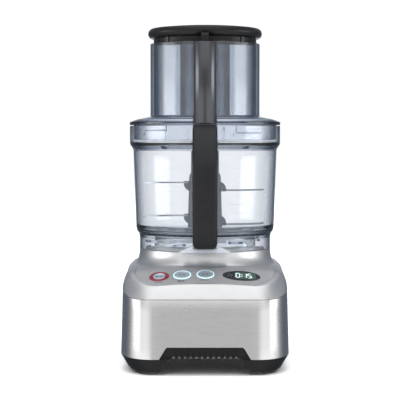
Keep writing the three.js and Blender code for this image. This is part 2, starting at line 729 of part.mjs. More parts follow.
function bladeHub() {
  const h = HUB;
  const outer = turned([[0, h.bottom], [h.bottomRadius, h.bottom], [21.6, 222], [20.9, 243.5], [19.8, 246],
    [h.topRadius, 248], [h.topRadius, 288], [16.5, 294], [11, 297.2], [0, h.top]], { segments: 28 });
  const slots = BLADES.map((b) => {
    const slot = plate(bladeShape(BLADE.root - 0.5, GAP), b.z - 1.15, b.z + 1.15);
    return spun(slot, b.turn);
  });
  return without(
    joined(outer, ...BLADES.map(bladeBoss)),
    cylinder(h.bore, 160, 231, { segments: 28 }), cylinder(12, 225, 288),
    ...slots,
  );
}

// ---------------------------------------------------------------- lid and pushers
function lidForm(grow) {
  const l = LID;
  return [
    [l.chuteRadius + grow, l.domeTop + grow], [80, 320.6 + grow], [90, 318.4 + grow],
    [96, 316.6 + grow], [l.rimRadius + grow, l.rimTop - 0.6], [l.rimRadius + grow, l.rimBottom - grow],
  ];
}

function lid() {
  const l = LID;
  const chute = ring(l.chuteBore, l.chuteRadius, 316.4, l.chuteTop);
  const dome = turned([...lidForm(0), [l.skirtRadius, l.rimBottom], [l.skirtRadius, l.skirtBottom],
    [l.skirtRadius - 2.5, l.skirtBottom], [l.skirtRadius - 2.5, 312.5], [88, 315], [78, 317.2],
    [l.chuteBore, 318], [l.chuteBore, l.domeTop]]);
  const lug = box(l.skirtRadius - 1, 96, AXIS_Y - 12, AXIS_Y + 12, 296, 300)
    .intersect(ring(80, 96, 290, 305));
  return joined(dome, chute, aroundAxis(lug, [29, 119, 209, 299]));
}

function chuteColumn() {
  const { halfWidth: w, frontDepth, bottom, top } = COLUMN;
  const shape = new THREE.Shape();
  const shoulder = AXIS_Y - frontDepth + w;
  shape.moveTo(-w, AXIS_Y - 60);
  shape.lineTo(-w, shoulder);
  shape.absarc(0, shoulder, w, Math.PI, 2 * Math.PI, false);
  shape.lineTo(w, AXIS_Y - 60);
  const lidEnvelope = turned([
    [0, 200], [0, LID.domeTop + 0.5], ...lidForm(GAP + 0.1), [LID.rimRadius + 0.4, 200], [0, 200],
  ]);
  const pocket = box(-6, 6, AXIS_Y - 106, AXIS_Y - 97.4, top - 16, top + 5);
  return without(
    plate(shape, bottom, top, 8),
    cylinder(LID.chuteRadius + GAP, 200, 440, { segments: FINE }), lidEnvelope,
    cylinder(ROD.bore, 200, 430, { y: AXIS_Y - ROD.depth, segments: 12 }), pocket,
  );
}

function lidSeal() {
  return turned([[91.2, 288], [94.4, 288], [94.9, 289.4], [94.4, 290.8], [91.2, 290.8]]);
}

function largePusher() {
  const p = PUSHER;
  const top = p.skirtBottom - GAP;
  return turned([
    [p.radius, p.bottom], [p.radius, top], [p.radius - p.wall, top], [p.radius - p.wall, p.bottom + 3],
    [p.feedRadius, p.bottom + 3], [p.feedRadius, p.feedTop], [p.feedBore, p.feedTop], [p.feedBore, p.bottom],
  ]);
}

function largePusherCap() {
  const p = PUSHER;
  const middle = p.capBottom + p.capRimHeight / 2;
  const rim = [];
  for (let i = 0; i <= 4; i += 1) {
    const angle = THREE.MathUtils.degToRad(-90 + (180 * i) / 4);
    rim.push([p.capRadius - 6 + 6 * Math.cos(angle), middle + (p.capRimHeight / 2) * Math.sin(angle)]);
  }
  const disc = turned([[p.radius - 0.2, p.skirtBottom], [p.radius - 0.2, p.capBottom], ...rim,
    [56, p.top - 2.4], [p.capHole, p.top - 1.8], [p.capHole, p.feedTop + 2], [p.radius - 3, p.feedTop + 2],
    [p.radius - 3, p.skirtBottom]]);
  const rib = box(66.5, 69.2, AXIS_Y - 2.4, AXIS_Y + 2.4, p.skirtBottom + 0.5, p.capBottom + 2);
  const arm = box(-4.8, 4.8, AXIS_Y - 105, AXIS_Y - 66.5, LID.chuteTop + 1, p.capBottom + 1);
  const prong = box(-4.8, 4.8, AXIS_Y - 105, AXIS_Y - 98.4, COLUMN.top - 14, LID.chuteTop + 2);
  return joined(disc, aroundAxis(rib, [45, 135, 225, 315]), arm, prong);
}

function smallPusher() {
  const { smallRadius: r, bottom, feedTop } = PUSHER;
  return turned([[0, bottom + 0.3], [r, bottom + 0.3], [r, feedTop + 0.5], [r - 2.2, feedTop + 0.5],
    [r - 2.2, bottom + 3.3], [0, bottom + 3.3]], { segments: 28 });
}

function smallPusherCap() {
  const { capHole, feedTop, top } = PUSHER;
  const r = capHole - 0.5;
  return turned([[0, feedTop - 6], [26.8, feedTop - 6], [26.8, feedTop + 1], [r, feedTop + 1], [r, top - 2.6],
    [r - 1.6, top - 1], [18, top], [0, top]], { segments: 28 });
}

// ---------------------------------------------------------------- the assembly
const group = new THREE.Group();
const finishes = {
  cast: { color: 0xb9babd, roughness: 0.35, metalness: 0.9 },
  steel: { color: 0xb4b5b7, roughness: 0.3, metalness: 1 },
  panel: { color: 0x85888b, roughness: 0.5, metalness: 0.5 },
  black: { color: 0x1b1c1e, roughness: 0.5, metalness: 0 },
  rubber: { color: 0x141414, roughness: 0.9, metalness: 0 },
  grip: { color: 0x38393d, roughness: 0.6, metalness: 0 },
  column: { color: 0x55575b, roughness: 0.35, metalness: 0.6 },
  clear: { color: 0xc9d6e6, roughness: 0.05, metalness: 0, transparent: true, opacity: 0.3 },
  pusher: { color: 0x8f9bab, roughness: 0.15, metalness: 0.5 },
  pale: { color: 0xd4d8de, roughness: 0.4, metalness: 0 },
  hub: { color: 0x46525f, roughness: 0.45, metalness: 0 },
  blade: { color: 0xc5c8cc, roughness: 0.2, metalness: 1 },
  red: { color: 0xb01f35, roughness: 0.3, metalness: 0 },
  white: { color: 0xe2f1fa, roughness: 0.3, metalness: 0 },
  lens: { color: 0x23282b, roughness: 0.1, metalness: 0 },
  copper: { color: 0xb06a3a, roughness: 0.4, metalness: 1 },
  board: { color: 0x1f5a38, roughness: 0.6, metalness: 0 },
  seal: { color: 0xb8bcc2, roughness: 0.7, metalness: 0 },
};
const materials = Object.fromEntries(
  Object.entries(finishes).map(([name, finish]) => [name, new THREE.MeshStandardMaterial(finish)]),
);

function add(name, made, finish) {
  const mesh = new THREE.Mesh(geometryOf(made), materials[finish]);
  mesh.name = name;
  group.add(mesh);
}

const form = coverForm();
add('base_cover', baseCover(form), 'cast');
add('base_skirt', baseSkirt(), 'steel');
add('control_panel', controlPanel(form), 'panel');
add('chassis', chassis(), 'black');
add('front_grille', frontGrille(), 'black');
for (const [side, sx] of [['left', -1], ['right', 1]]) {
  for (const [end, sy] of [['front', -1], ['rear', 1]]) {
    add(`foot_${end}_${side}`, foot(sx, sy), 'rubber');
    add(`chassis_screw_${end}_${side}`, chassisScrew(sx, sy), 'steel');
  }
}
add('cord_gland', cordGland(), 'rubber');

for (const b of BUTTONS) {
  add(`${b.name}_button`, buttonCap(b), 'panel');
  add(`${b.name}_ring`, buttonRing(b), b.name === 'power' ? 'red' : 'white');
}
add('display_lens', displayLens(), 'lens');
add('display_module', displayModule(), 'lens');
add('control_board', controlBoard(), 'board');

add('motor_stator', motorStator(), 'steel');
add('winding_lower', winding(38.5, MOTOR.stackBottom - GAP), 'copper');
add('winding_upper', winding(MOTOR.stackTop + GAP, 121.5), 'copper');
add('motor_bracket_upper', motorBracket(123, 128, MOTOR.stackTop + GAP), 'cast');
add('motor_bracket_lower', motorBracket(33.6, 37.6, MOTOR.stackBottom - GAP), 'cast');
add('bearing_upper', bearing(121, 130), 'steel');
add('bearing_lower', bearing(34, 42), 'steel');
add('motor_mount_ring', ring(42, 52, ARCH.top + 3 + GAP, 33.3), 'rubber');
add('motor_rotor', motorRotor(), 'steel');
add('drive_shaft', driveShaft(), 'steel');
add('cooling_fan', coolingFan(), 'black');
add('shaft_seal', turned([
  [6.6, 148], [10.6, 148], [10.6, 152.8], [16, 152.8], [16, 154.6], [9.6, 158], [8.6, 162], [6.6, 162],
], { segments: COARSE }), 'rubber');
add('run_capacitor', cylinder(16, -32, 32, { x: 0, y: 0, segments: 20 }).rotate([90, 0, 0])
  .translate([-72, 30, 62]), 'steel');
add('interlock_switch', box(-9, 9, AXIS_Y - 86, AXIS_Y - 74, 104, 115.4), 'black');
add('switch_plunger', cylinder(PLUNGER.radius, PLUNGER.bottom, PLUNGER.top,
  { y: AXIS_Y - PLUNGER.depth, segments: 8 }), 'black');

add('bowl_bush', bowlBush(), 'steel');
add('bowl', bowl(), 'clear');
add('handle_frame', handleFrame(), 'grip');
add('handle_grip', handleGrip(), 'grip');
add('handle_foot', handleFoot(), 'pale');
add('handle_rod', handleRod(), 'steel');
add('drive_spindle', spindle(), 'hub');
add('blade_hub', bladeHub(), 'hub');
for (const b of BLADES) add(b.name, blade(b), 'blade');

add('lid_seal', lidSeal(), 'seal');
add('lid', lid(), 'clear');
add('chute_column', chuteColumn(), 'column');
add('column_rod', rod(ROD.top + 0.6, COLUMN.top - 15), 'steel');
add('large_pusher', largePusher(), 'pusher');
add('large_pusher_cap', largePusherCap(), 'black');
add('small_pusher', smallPusher(), 'pusher');
add('small_pusher_cap', smallPusherCap(), 'black');

export default group;
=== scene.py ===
"""Looks of a countertop food processor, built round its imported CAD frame.

Shapes are worked out in millimetres in the part's own frame (+Z up, the front faces -Y) and stored in metres.
"""
import json
import math

import bmesh
import bpy
from mathutils import Matrix, Vector


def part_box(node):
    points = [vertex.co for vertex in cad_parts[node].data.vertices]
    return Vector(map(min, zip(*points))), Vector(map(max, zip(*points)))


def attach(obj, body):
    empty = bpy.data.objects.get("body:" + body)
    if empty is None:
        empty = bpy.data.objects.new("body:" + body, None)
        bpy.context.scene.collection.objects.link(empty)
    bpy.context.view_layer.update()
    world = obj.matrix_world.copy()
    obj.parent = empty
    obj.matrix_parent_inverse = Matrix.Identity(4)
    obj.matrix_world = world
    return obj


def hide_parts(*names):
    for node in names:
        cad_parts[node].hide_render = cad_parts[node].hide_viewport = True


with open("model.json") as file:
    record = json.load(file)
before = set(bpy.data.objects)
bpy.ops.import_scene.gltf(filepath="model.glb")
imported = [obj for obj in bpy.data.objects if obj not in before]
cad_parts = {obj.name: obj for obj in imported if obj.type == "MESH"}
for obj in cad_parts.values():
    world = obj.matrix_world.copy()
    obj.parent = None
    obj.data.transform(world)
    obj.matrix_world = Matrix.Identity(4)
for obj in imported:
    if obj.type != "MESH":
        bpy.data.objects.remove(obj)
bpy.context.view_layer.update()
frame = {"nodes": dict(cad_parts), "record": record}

MM = 0.001


def node_box(node):
    """Lowest and highest corner of a CAD node, in millimetres."""
    low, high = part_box(node)
    return low / MM, high / MM


def middle(node):
    """Centre of a CAD node's box, in millimetres."""
    low, high = node_box(node)
    return (low + high) / 2


# ---------------------------------------------------------------- driving dimensions, in millimetres
AXIS_Y = middle("motor_rotor").y
SKIRT_LOW, SKIRT_HIGH = node_box("base_skirt")
BASE = {
    "half_width": SKIRT_HIGH.x, "half_depth": SKIRT_HIGH.y, "corner_x": 42, "corner_y": 60, "draft": 2,
    "skirt_bottom": SKIRT_LOW.z, "tongue_bottom": 90, "crease_side": 101.5, "crease_drop": 6.6, "wall": 2.2,
    "chassis_top": node_box("chassis")[1].z,
}
DECK = {
    "half_width": 92, "front_depth": 137.8, "rear_inset": 15, "corner_x": 35, "corner_y": 48,
    "top": 131.5, "slope": 0.395, "slope_start": 93, "softness": 4, "bow_radius": 640,
}
PANEL = {
    "half_width": 87.6, "front_depth": 136.2, "corner_x": 46, "corner_y": 42,
    "thickness": 2.5, "rear_depth": 48,
}
NECK = {"radius": 86.8, "top": 148, "foot": 95, "platform": 78, "platform_top": node_box("base_cover")[1].z}
LID_TOP = node_box("lid")[1].z
BOWL_TOP = node_box("bowl")[1].z
BOWL_FOOT = NECK["top"] + 0.3
CAP_TOP = node_box("large_pusher_cap")[1].z
CAP_SKIRT = {"bottom": 413.3, "top": 424.2}
CAP_RIM = {"middle": 430.8, "half_height": 6.6}
FEED_TOP = node_box("large_pusher")[1].z
CHUTE_RADIUS = 72.5
CHUTE_BORE = 69.8
RIM_RADIUS = node_box("lid")[1].x
PUSHER_RADIUS = node_box("large_pusher")[1].x
CAP_RADIUS = 75.3
ROD_DEPTH = AXIS_Y - middle("column_rod").y
GAP = 0.3
BUTTONS = {  # across, depth in front of the bowl axis, ring radius, cap radius
    "power": (-57.3, 114.5, 12.1, 7.9),
    "start": (-28.6, 114.3, 11.3, 9.7),
    "pulse": (0.6, 114.2, 11.3, 9.7),
}
DISPLAY = {"x": 45.7, "depth": 114.5, "half_width": 23.4, "half_height": 12.8}
GLAND_HEIGHT = 40
NOTCH = {"half_top": 47.5, "half_bottom": 57.5, "top": 36.3}
FAR_OUT = 150  # beyond every wall of the base
FOOT_X, FOOT_Y = 76, 98
SCREW_X, SCREW_Y = 84, 76
CORNERS = {"front_left": (-1, -1), "rear_left": (-1, 1), "front_right": (1, -1), "rear_right": (1, 1)}
GRIP_FAR, GRIP_FAR_Z = 149.6, 258


# ---------------------------------------------------------------- mesh helpers
def new_object(name, points, faces):
    mesh = bpy.data.meshes.new(name)
    mesh.from_pydata([tuple(c * MM for c in p) for p in points], [], faces)
    shaped = bmesh.new()
    shaped.from_mesh(mesh)
    bmesh.ops.recalc_face_normals(shaped, faces=shaped.faces)
    shaped.to_mesh(mesh)
    shaped.free()
    obj = bpy.data.objects.new(name, mesh)
    bpy.context.scene.collection.objects.link(obj)
    return obj


def apply_modifiers(obj):
    graph = bpy.context.evaluated_depsgraph_get()
    made = bpy.data.meshes.new_from_object(obj.evaluated_get(graph))
    obj.modifiers.clear()
    obj.data = made


def combine(obj, others, operation):
    for other in others:
        modifier = obj.modifiers.new(operation.lower(), "BOOLEAN")
        modifier.object = other
        modifier.operation = operation
        modifier.solver = "EXACT"
    apply_modifiers(obj)
    for other in others:
        bpy.data.objects.remove(other)
    return obj


def cut(obj, *others):
    return combine(obj, others, "DIFFERENCE")


def fuse(obj, *others):
    return combine(obj, others, "UNION")


def keep_inside(obj, other):
    return combine(obj, [other], "INTERSECT")


def bevelled(obj, width, segments=2, angle=40):
    modifier = obj.modifiers.new("bevel", "BEVEL")
    modifier.width = width * MM
    modifier.segments = segments
    modifier.limit_method = "ANGLE"
    modifier.angle_limit = math.radians(angle)
    apply_modifiers(obj)
    return obj


def placed(obj, matrix):
    """Moves a mesh that was drawn round the origin; the matrix is in millimetres."""
    moved = matrix.copy()
    moved.translation = matrix.translation * MM
    obj.data.transform(moved)
    obj.data.update()
    return obj


def rounded(section, closed=True, steps=5):
    """Turns each (u, v, radius) corner of a section into an arc; a (u, v) corner stays sharp."""
    result = []
    count = len(section)
    least_half_angle, longest_share = 0.02, 0.49
    for i, corner in enumerate(section):
        at = Vector(corner[:2])
        if len(corner) == 2 or (not closed and i in (0, count - 1)):
            result.append(tuple(at))
            continue
        back = Vector(section[i - 1][:2]) - at
        ahead = Vector(section[(i + 1) % count][:2]) - at
        half = max(back.angle(ahead) / 2, least_half_angle)
        reach = min(corner[2] / math.tan(half), longest_share * back.length, longest_share * ahead.length)
        start = at + back.normalized() * reach
        end = at + ahead.normalized() * reach
        for k in range(steps + 1):
            t = k / steps
            result.append(tuple(start * (1 - t) ** 2 + at * 2 * t * (1 - t) + end * t ** 2))
    return result


def lathe(name, section, segments=160, x=0.0, y=None, steps=5):
    """A solid of revolution round a vertical line. The section closes unless both ends are on the axis."""
    y = AXIS_Y if y is None else y
    closed = not (section[0][0] == 0 and section[-1][0] == 0)
    profile = rounded(section, closed, steps)
    points, rings = [], []
    for radius, z in profile:
        if radius < 1e-6:
            rings.append([len(points)])
            points.append((x, y, z))
            continue
        rings.append(list(range(len(points), len(points) + segments)))
        for k in range(segments):
            angle = 2 * math.pi * k / segments
            points.append((x + radius * math.cos(angle), y + radius * math.sin(angle), z))
    faces = []
    pairs = list(zip(rings, rings[1:])) + ([(rings[-1], rings[0])] if closed else [])
    for low, high in pairs:
        for k in range(segments):
            j = (k + 1) % segments
            corners = [low[k % len(low)], low[j % len(low)], high[j % len(high)], high[k % len(high)]]
            face = list(dict.fromkeys(corners))
            if len(face) > 2:
                faces.append(face)
    return new_object(name, points, faces)


def cylinder(name, radius, low, high, segments=32, x=0.0, y=None):
    return lathe(name, [(0, low), (radius, low), (radius, high), (0, high)], segments, x, y)


def loft(name, rings, closed_section=False):
    """Joins rings of points; the ends are capped unless the last ring meets the first."""
    count = len(rings[0])
    points = [p for ring in rings for p in ring]
    pairs = [(i, i + 1) for i in range(len(rings) - 1)]
    if closed_section:
        pairs.append((len(rings) - 1, 0))
    faces = [
        (a * count + k, a * count + (k + 1) % count, b * count + (k + 1) % count, b * count + k)
        for a, b in pairs for k in range(count)
    ]
    if not closed_section:
        faces.append(tuple(range(count)))
        faces.append(tuple(range((len(rings) - 1) * count, len(rings) * count)))
    return new_object(name, points, faces)


def prism(name, outline, low, high, place):
    """Extrudes an outline of (u, v) from w = low to w = high; place(u, v, w) gives the point."""
    return loft(name, [[place(u, v, w) for u, v in outline] for w in (low, high)])


def from_above(u, v, w):
    return (u, v, w)


def from_front(u, v, w):
    return (u, w, v)


def front_to_back(u, v, w):
    return (w, u, v)


def from_side(u, v, w):
    """u is the depth in front of the bowl axis."""
    return (w, AXIS_Y - u, v)


def block(name, low, high):
    (x0, y0, z0), (x1, y1, z1) = low, high
    return prism(name, [(x0, y0), (x1, y0), (x1, y1), (x0, y1)], z0, z1, from_above)


def bezier(a, b, c, d, steps=14):
    """The points of a cubic curve after its first one."""
    a, b, c, d = Vector(a), Vector(b), Vector(c), Vector(d)
    curve = []
    for k in range(1, steps + 1):
        t = k / steps
        u = 1 - t
        curve.append(tuple(a * u ** 3 + b * 3 * t * u ** 2 + c * 3 * t * t * u + d * t ** 3))
    return curve


def arc_block(name, inner, outer, start, end, low, high, steps=10):
    """A piece of a ring round the bowl axis, from one angle to another in degrees."""
    angles = [math.radians(start + (end - start) * k / steps) for k in range(steps + 1)]
    outline = [(outer * math.cos(a), AXIS_Y + outer * math.sin(a)) for a in angles]
    outline += [(inner * math.cos(a), AXIS_Y + inner * math.sin(a)) for a in reversed(angles)]
    return prism(name, outline, low, high, from_above)


def spun(obj, degrees):
    """Turns a mesh about the bowl axis."""
    centre = Matrix.Translation((0, AXIS_Y * MM, 0))
    obj.data.transform(centre @ Matrix.Rotation(math.radians(degrees), 4, "Z") @ centre.inverted())
    return obj


def disc_outline(radius_x, radius_y, count=96):
    return [
        (radius_x * math.cos(2 * math.pi * k / count), radius_y * math.sin(2 * math.pi * k / count))
        for k in range(count)
    ]


# ---------------------------------------------------------------- materials
MATERIALS = {}


def connect(tree, value, socket):
    """Links another node's output to a socket, or sets the socket to a number or colour."""
    if isinstance(value, bpy.types.NodeSocket):
        tree.links.new(value, socket)
    else:
        socket.default_value = value


def add_node(tree, kind, **inputs):
    """Adds a shader node; an underscore in an input's name stands for a space."""
    node = tree.nodes.new("ShaderNode" + kind)
    for name, value in inputs.items():
        connect(tree, value, node.inputs[name.replace("_", " ")])
    return node


def blend(tree, factor, first, second):
    """Mixes two colours."""
    node = tree.nodes.new("ShaderNodeMix")
    node.data_type = "RGBA"
    sockets = {socket.identifier: socket for socket in node.inputs}
    connect(tree, factor, sockets["Factor_Float"])
    connect(tree, first, sockets["A_Color"])
    connect(tree, second, sockets["B_Color"])
    return next(socket for socket in node.outputs if socket.identifier == "Result_Color")


class Shader:
    """A Principled material with helpers that give it fine detail."""

    def __init__(self, name, color, roughness, **sockets):
        self.material = bpy.data.materials.new(name)
        self.material.use_nodes = True
        self.tree = self.material.node_tree
        self.bsdf = self.tree.nodes["Principled BSDF"]
        self.output = self.tree.nodes["Material Output"]
        self.color, self.roughness = color, roughness
        self.normal = None
        settings = {"base_color": (*color, 1), "roughness": roughness, "metallic": 0.0, **sockets}
        for socket, value in settings.items():
            self.bsdf.inputs[socket.replace("_", " ").title().replace("Ior", "IOR")].default_value = value
        MATERIALS[name] = self.material

    def noise(self, scale, stretch=(1, 1, 1), detail=3.0, rough=0.6):
        place = add_node(self.tree, "TexCoord")
        mapping = add_node(self.tree, "Mapping", Vector=place.outputs["Object"], Scale=stretch)
        texture = add_node(self.tree, "TexNoise", Vector=mapping.outputs["Vector"],
                           Scale=scale, Detail=detail, Roughness=rough)
        return texture.outputs["Fac"]

    def spread(self, value, low, high):
        """Maps a noise's useful middle range to low..high."""
        ranged = add_node(self.tree, "MapRange", Value=value,
                          From_Min=0.3, From_Max=0.7, To_Min=low, To_Max=high)
        return ranged.outputs["Result"]

    def vary_color(self, value, amount):
        """Moves the colour between a darker and a lighter tone."""
        dark = tuple(c * (1 - amount) for c in self.color)
        light = tuple(min(1.0, c * (1 + amount)) for c in self.color)
        mixed = blend(self.tree, self.spread(value, 0, 1), (*dark, 1), (*light, 1))
        connect(self.tree, mixed, self.bsdf.inputs["Base Color"])

    def vary_roughness(self, value, amount):
        low, high = max(0.0, self.roughness - amount), self.roughness + amount
        connect(self.tree, self.spread(value, low, high), self.bsdf.inputs["Roughness"])

    def bump(self, value, strength, distance=0.05):
        """Adds a relief, over the earlier one if there is one."""
        bump = add_node(self.tree, "Bump", Height=value, Strength=strength, Distance=distance * MM)
        if self.normal:
            connect(self.tree, self.normal, bump.inputs["Normal"])
        self.normal = bump.outputs["Normal"]
        connect(self.tree, self.normal, self.bsdf.inputs["Normal"])

    def tangent_around_z(self):
        tangent = add_node(self.tree, "Tangent")
        tangent.direction_type = "RADIAL"
        tangent.axis = "Z"
        connect(self.tree, tangent.outputs["Tangent"], self.bsdf.inputs["Tangent"])

    def lets_lamps_through(self, tint):
        """Clear plastic throws a tinted, see-through shadow instead of a black one."""
        path = add_node(self.tree, "LightPath")
        clear = add_node(self.tree, "BsdfTransparent", Color=(*tint, 1))
        mixed = add_node(self.tree, "MixShader", Fac=path.outputs["Is Shadow Ray"])
        connect(self.tree, self.bsdf.outputs["BSDF"], mixed.inputs[1])
        connect(self.tree, clear.outputs["BSDF"], mixed.inputs[2])
        connect(self.tree, mixed.outputs["Shader"], self.output.inputs["Surface"])

    def absorbs(self, color, density):
        volume = add_node(self.tree, "VolumeAbsorption", Color=(*color, 1), Density=density)
        connect(self.tree, volume.outputs["Volume"], self.output.inputs["Volume"])


def moulded(name, color, roughness, grain=0.25, **sockets):
    """Moulded plastic: a fine spark-eroded grain, slight clouding and uneven gloss."""
    shader = Shader(name, color, roughness, **sockets)
    shader.vary_color(shader.noise(35, detail=2), 0.07)
    shader.vary_roughness(shader.noise(60, detail=4), 0.05)
    shader.bump(shader.noise(2600, detail=2), grain, 0.03)
    return shader


def rubbery(name, color, roughness, sheen=0.12, **sockets):
    """Matte elastomer: soft speckle and a light bloom."""
    shader = Shader(name, color, roughness, sheen_weight=sheen, sheen_roughness=0.5, **sockets)
    shader.vary_color(shader.noise(90, detail=3), 0.12)
    shader.vary_roughness(shader.noise(45, detail=3), 0.06)
    shader.bump(shader.noise(1800, detail=3), 0.3, 0.05)
    return shader


def worked_metal(name, color, roughness, stretch, scale=900, strength=0.12, metallic=1.0, **sockets):
    """Worked metal: fine lines along the direction that the stretch leaves short."""
    shader = Shader(name, color, roughness, metallic=metallic, **sockets)
    lines = shader.noise(scale, stretch, detail=4, rough=0.7)
    shader.vary_color(lines, 0.03)
    shader.vary_roughness(lines, 0.03)
    shader.bump(lines, strength, 0.02)
    return shader


def clear_plastic(name, tint, absorbing, density, roughness, haze):
    """Clear plastic with a body tint, a slight moulding ripple and fine handling haze."""
    shader = Shader(name, tint, roughness, transmission_weight=1.0, ior=1.5)
    shader.vary_color(shader.noise(18, detail=2), 0.015)
    shader.vary_roughness(shader.noise(70, detail=4), haze)
    shader.bump(shader.noise(22, (1, 1, 0.6), detail=1), 0.25, 0.35)
    shader.absorbs(absorbing, density)
    shader.lets_lamps_through(tuple(c * 0.97 for c in tint))


def make_metals():
    steel = worked_metal("brushed_steel", (0.60, 0.60, 0.605), 0.28, (0.02, 0.02, 1.0), 1800, 0.012,
                         anisotropic=0.75, anisotropic_rotation=0.25)
    steel.tangent_around_z()
    cast = Shader("die_cast", (0.60, 0.603, 0.61), 0.36, metallic=0.95)
    cast.vary_color(cast.noise(420, (0.15, 0.15, 1), detail=4), 0.03)
    cast.vary_roughness(cast.noise(30, detail=3), 0.04)
    cast.bump(cast.noise(2400, detail=2), 0.10, 0.015)
    worked_metal("button_metal", (0.42, 0.50, 0.56), 0.34, (1, 1, 1), 700, 0.08, metallic=0.7)
    worked_metal("blade_steel", (0.62, 0.63, 0.65), 0.20, (1.0, 0.03, 1.0), 1200, 0.1)
    worked_metal("laminated_steel", (0.42, 0.42, 0.43), 0.45, (0.01, 0.01, 1.0), 2000, 0.5)
    worked_metal("copper_wire", (0.62, 0.27, 0.11), 0.35, (0.3, 0.3, 1.0), 1600, 0.6, coat_weight=0.4)
    worked_metal("steel", (0.60, 0.60, 0.62), 0.28, (0.05, 0.05, 1.0), 1400, 0.1)
    worked_metal("cast_bracket", (0.55, 0.55, 0.56), 0.5, (1, 1, 1), 500, 0.4)


def make_plastics():
    moulded("panel_grey", (0.262, 0.267, 0.277), 0.42, 0.2, metallic=0.35)
    moulded("ring_red", (0.155, 0.007, 0.018), 0.32, 0.1, coat_weight=0.1,
            emission_color=(0.45, 0.01, 0.04, 1), emission_strength=0.04)
    moulded("ring_pale", (0.62, 0.86, 0.96), 0.25, 0.1, coat_weight=0.5,
            emission_color=(0.62, 0.9, 1.0, 1), emission_strength=0.25)
    moulded("display_dark", (0.012, 0.014, 0.015), 0.15, 0.04, coat_weight=0.1)
    moulded("lcd_glow", (0.035, 0.058, 0.05), 0.2, 0.05, coat_weight=0.1,
            emission_color=(0.10, 0.16, 0.13, 1), emission_strength=0.1)
    moulded("lcd_digits", (0.60, 0.78, 0.75), 0.3, 0.05,
            emission_color=(0.6, 0.8, 0.75, 1), emission_strength=0.25)
    moulded("print_dark", (0.025, 0.025, 0.028), 0.5, 0.1)
    # grey for the display's printed dashes, and for the painted highlight on the grille's tooth tips
    moulded("print_and_tip_highlight_grey", (0.075, 0.073, 0.073), 0.4, 0.2)
    moulded("black_plastic", (0.006, 0.0063, 0.007), 0.46, specular_ior_level=0.18)
    moulded("handle_grey", (0.035, 0.037, 0.042), 0.36, 0.2)
    moulded("column_grey", (0.050, 0.053, 0.060), 0.20, 0.1, metallic=0.7, coat_weight=0.4)
    moulded("hub_slate", (0.060, 0.085, 0.115), 0.40, 0.2)
    cap = moulded("cap_black", (0.008, 0.008, 0.009), 0.27, 0.15, specular_ior_level=0.2)
    cap.vary_roughness(cap.noise(25, detail=3), 0.06)
    board = moulded("board_green", (0.03, 0.15, 0.07), 0.4, 0.2, coat_weight=0.3)
    board.bump(board.noise(500, (1, 0.2, 1), detail=2), 0.3, 0.04)
    rubbery("rubber_black", (0.014, 0.014, 0.014), 0.75)
    rubbery("soft_grip", (0.0085, 0.0088, 0.0098), 0.40, sheen=0.0, specular_ior_level=0.24)
    rubbery("seal_silicone", (0.62, 0.64, 0.68), 0.55)
    clear_plastic("clear_plastic", (0.985, 0.99, 1.0), (0.39, 0.50, 0.65), 56, 0.012, 0.012)
    clear_plastic("lid_plastic", (0.985, 0.99, 1.0), (0.31, 0.45, 0.64), 82, 0.012, 0.012)
    clear_plastic("pusher_smoke", (0.96, 0.97, 0.985), (0.35, 0.41, 0.48), 225, 0.05, 0.02)
    frosted = moulded("frosted", (0.62, 0.65, 0.70), 0.42, 0.3, transmission_weight=0.35, ior=1.48)
    frosted.lets_lamps_through((0.75, 0.79, 0.86))


def finish(obj, body, slot, *nodes, material=None, sharp=38):
    """Shades a piece, gives it its material, hangs it on its body and hides the CAD nodes that it replaces.
    """
    obj.data.shade_smooth()
    obj.data.set_sharp_from_angle(angle=math.radians(sharp))
    obj.data.materials.clear()
    obj.data.materials.append(MATERIALS[material or slot])
    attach(obj, body)
    if nodes:
        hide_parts(*nodes)
    return obj


# ---------------------------------------------------------------- the base's surfaces
def smooth(t):
    u = min(max(t, 0.0), 1.0)
    return u * u * (3 - 2 * u)


def outline(half_width, front, rear, corner_x, corner_y, arc_steps=20, edge_steps=10):
    """A rounded outline with elliptical corners, anticlockwise from the front left, as (x, y)."""
    corners = [
        (half_width - corner_x, corner_y - front, -90),
        (half_width - corner_x, rear - corner_y, 0),
        (corner_x - half_width, rear - corner_y, 90),
        (corner_x - half_width, corner_y - front, 180),
    ]
    points = []
    for cx, cy, start in corners:
        for k in range(arc_steps + 1):
            angle = math.radians(start + 90 * k / arc_steps)
            points.append((cx + corner_x * math.cos(angle), cy + corner_y * math.sin(angle)))
    filled = []
    for i, (x, y) in enumerate(points):
        filled.append((x, y))
        if (i + 1) % (arc_steps + 1) == 0:
            nx, ny = points[(i + 1) % len(points)]
            for k in range(1, edge_steps):
                filled.append((x + (nx - x) * k / edge_steps, y + (ny - y) * k / edge_steps))
    return filled


def base_outline(inset):
    return outline(
        BASE["half_width"] - inset, BASE["half_depth"] - inset, BASE["half_depth"] - inset,
        BASE["corner_x"] - inset, BASE["corner_y"] - inset,
    )


def deck_outline(inset):
    """The cover's top inside its rounded shoulder, never inside the foot of the neck."""
    least = NECK["foot"] + 0.6 - inset
    softness = 3
    points = outline(
        DECK["half_width"] - inset, DECK["front_depth"] - AXIS_Y - inset,
        BASE["half_depth"] - DECK["rear_inset"] - inset, DECK["corner_x"] - inset, DECK["corner_y"] - inset,
    )
    kept = []
    for x, y in points:
        reach = math.hypot(x, y - AXIS_Y)
        share = (reach + least + math.hypot(reach - least, softness)) / 2 / reach
        kept.append((x * share, AXIS_Y + (y - AXIS_Y) * share))
    return kept


def crease_height(y):
    """The parting line between skirt and cover dips a little across the front."""
    dip_start = -73.5
    front = BASE["draft"] - BASE["half_depth"]
    return BASE["crease_side"] - BASE["crease_drop"] * smooth((dip_start - y) / (dip_start - front))


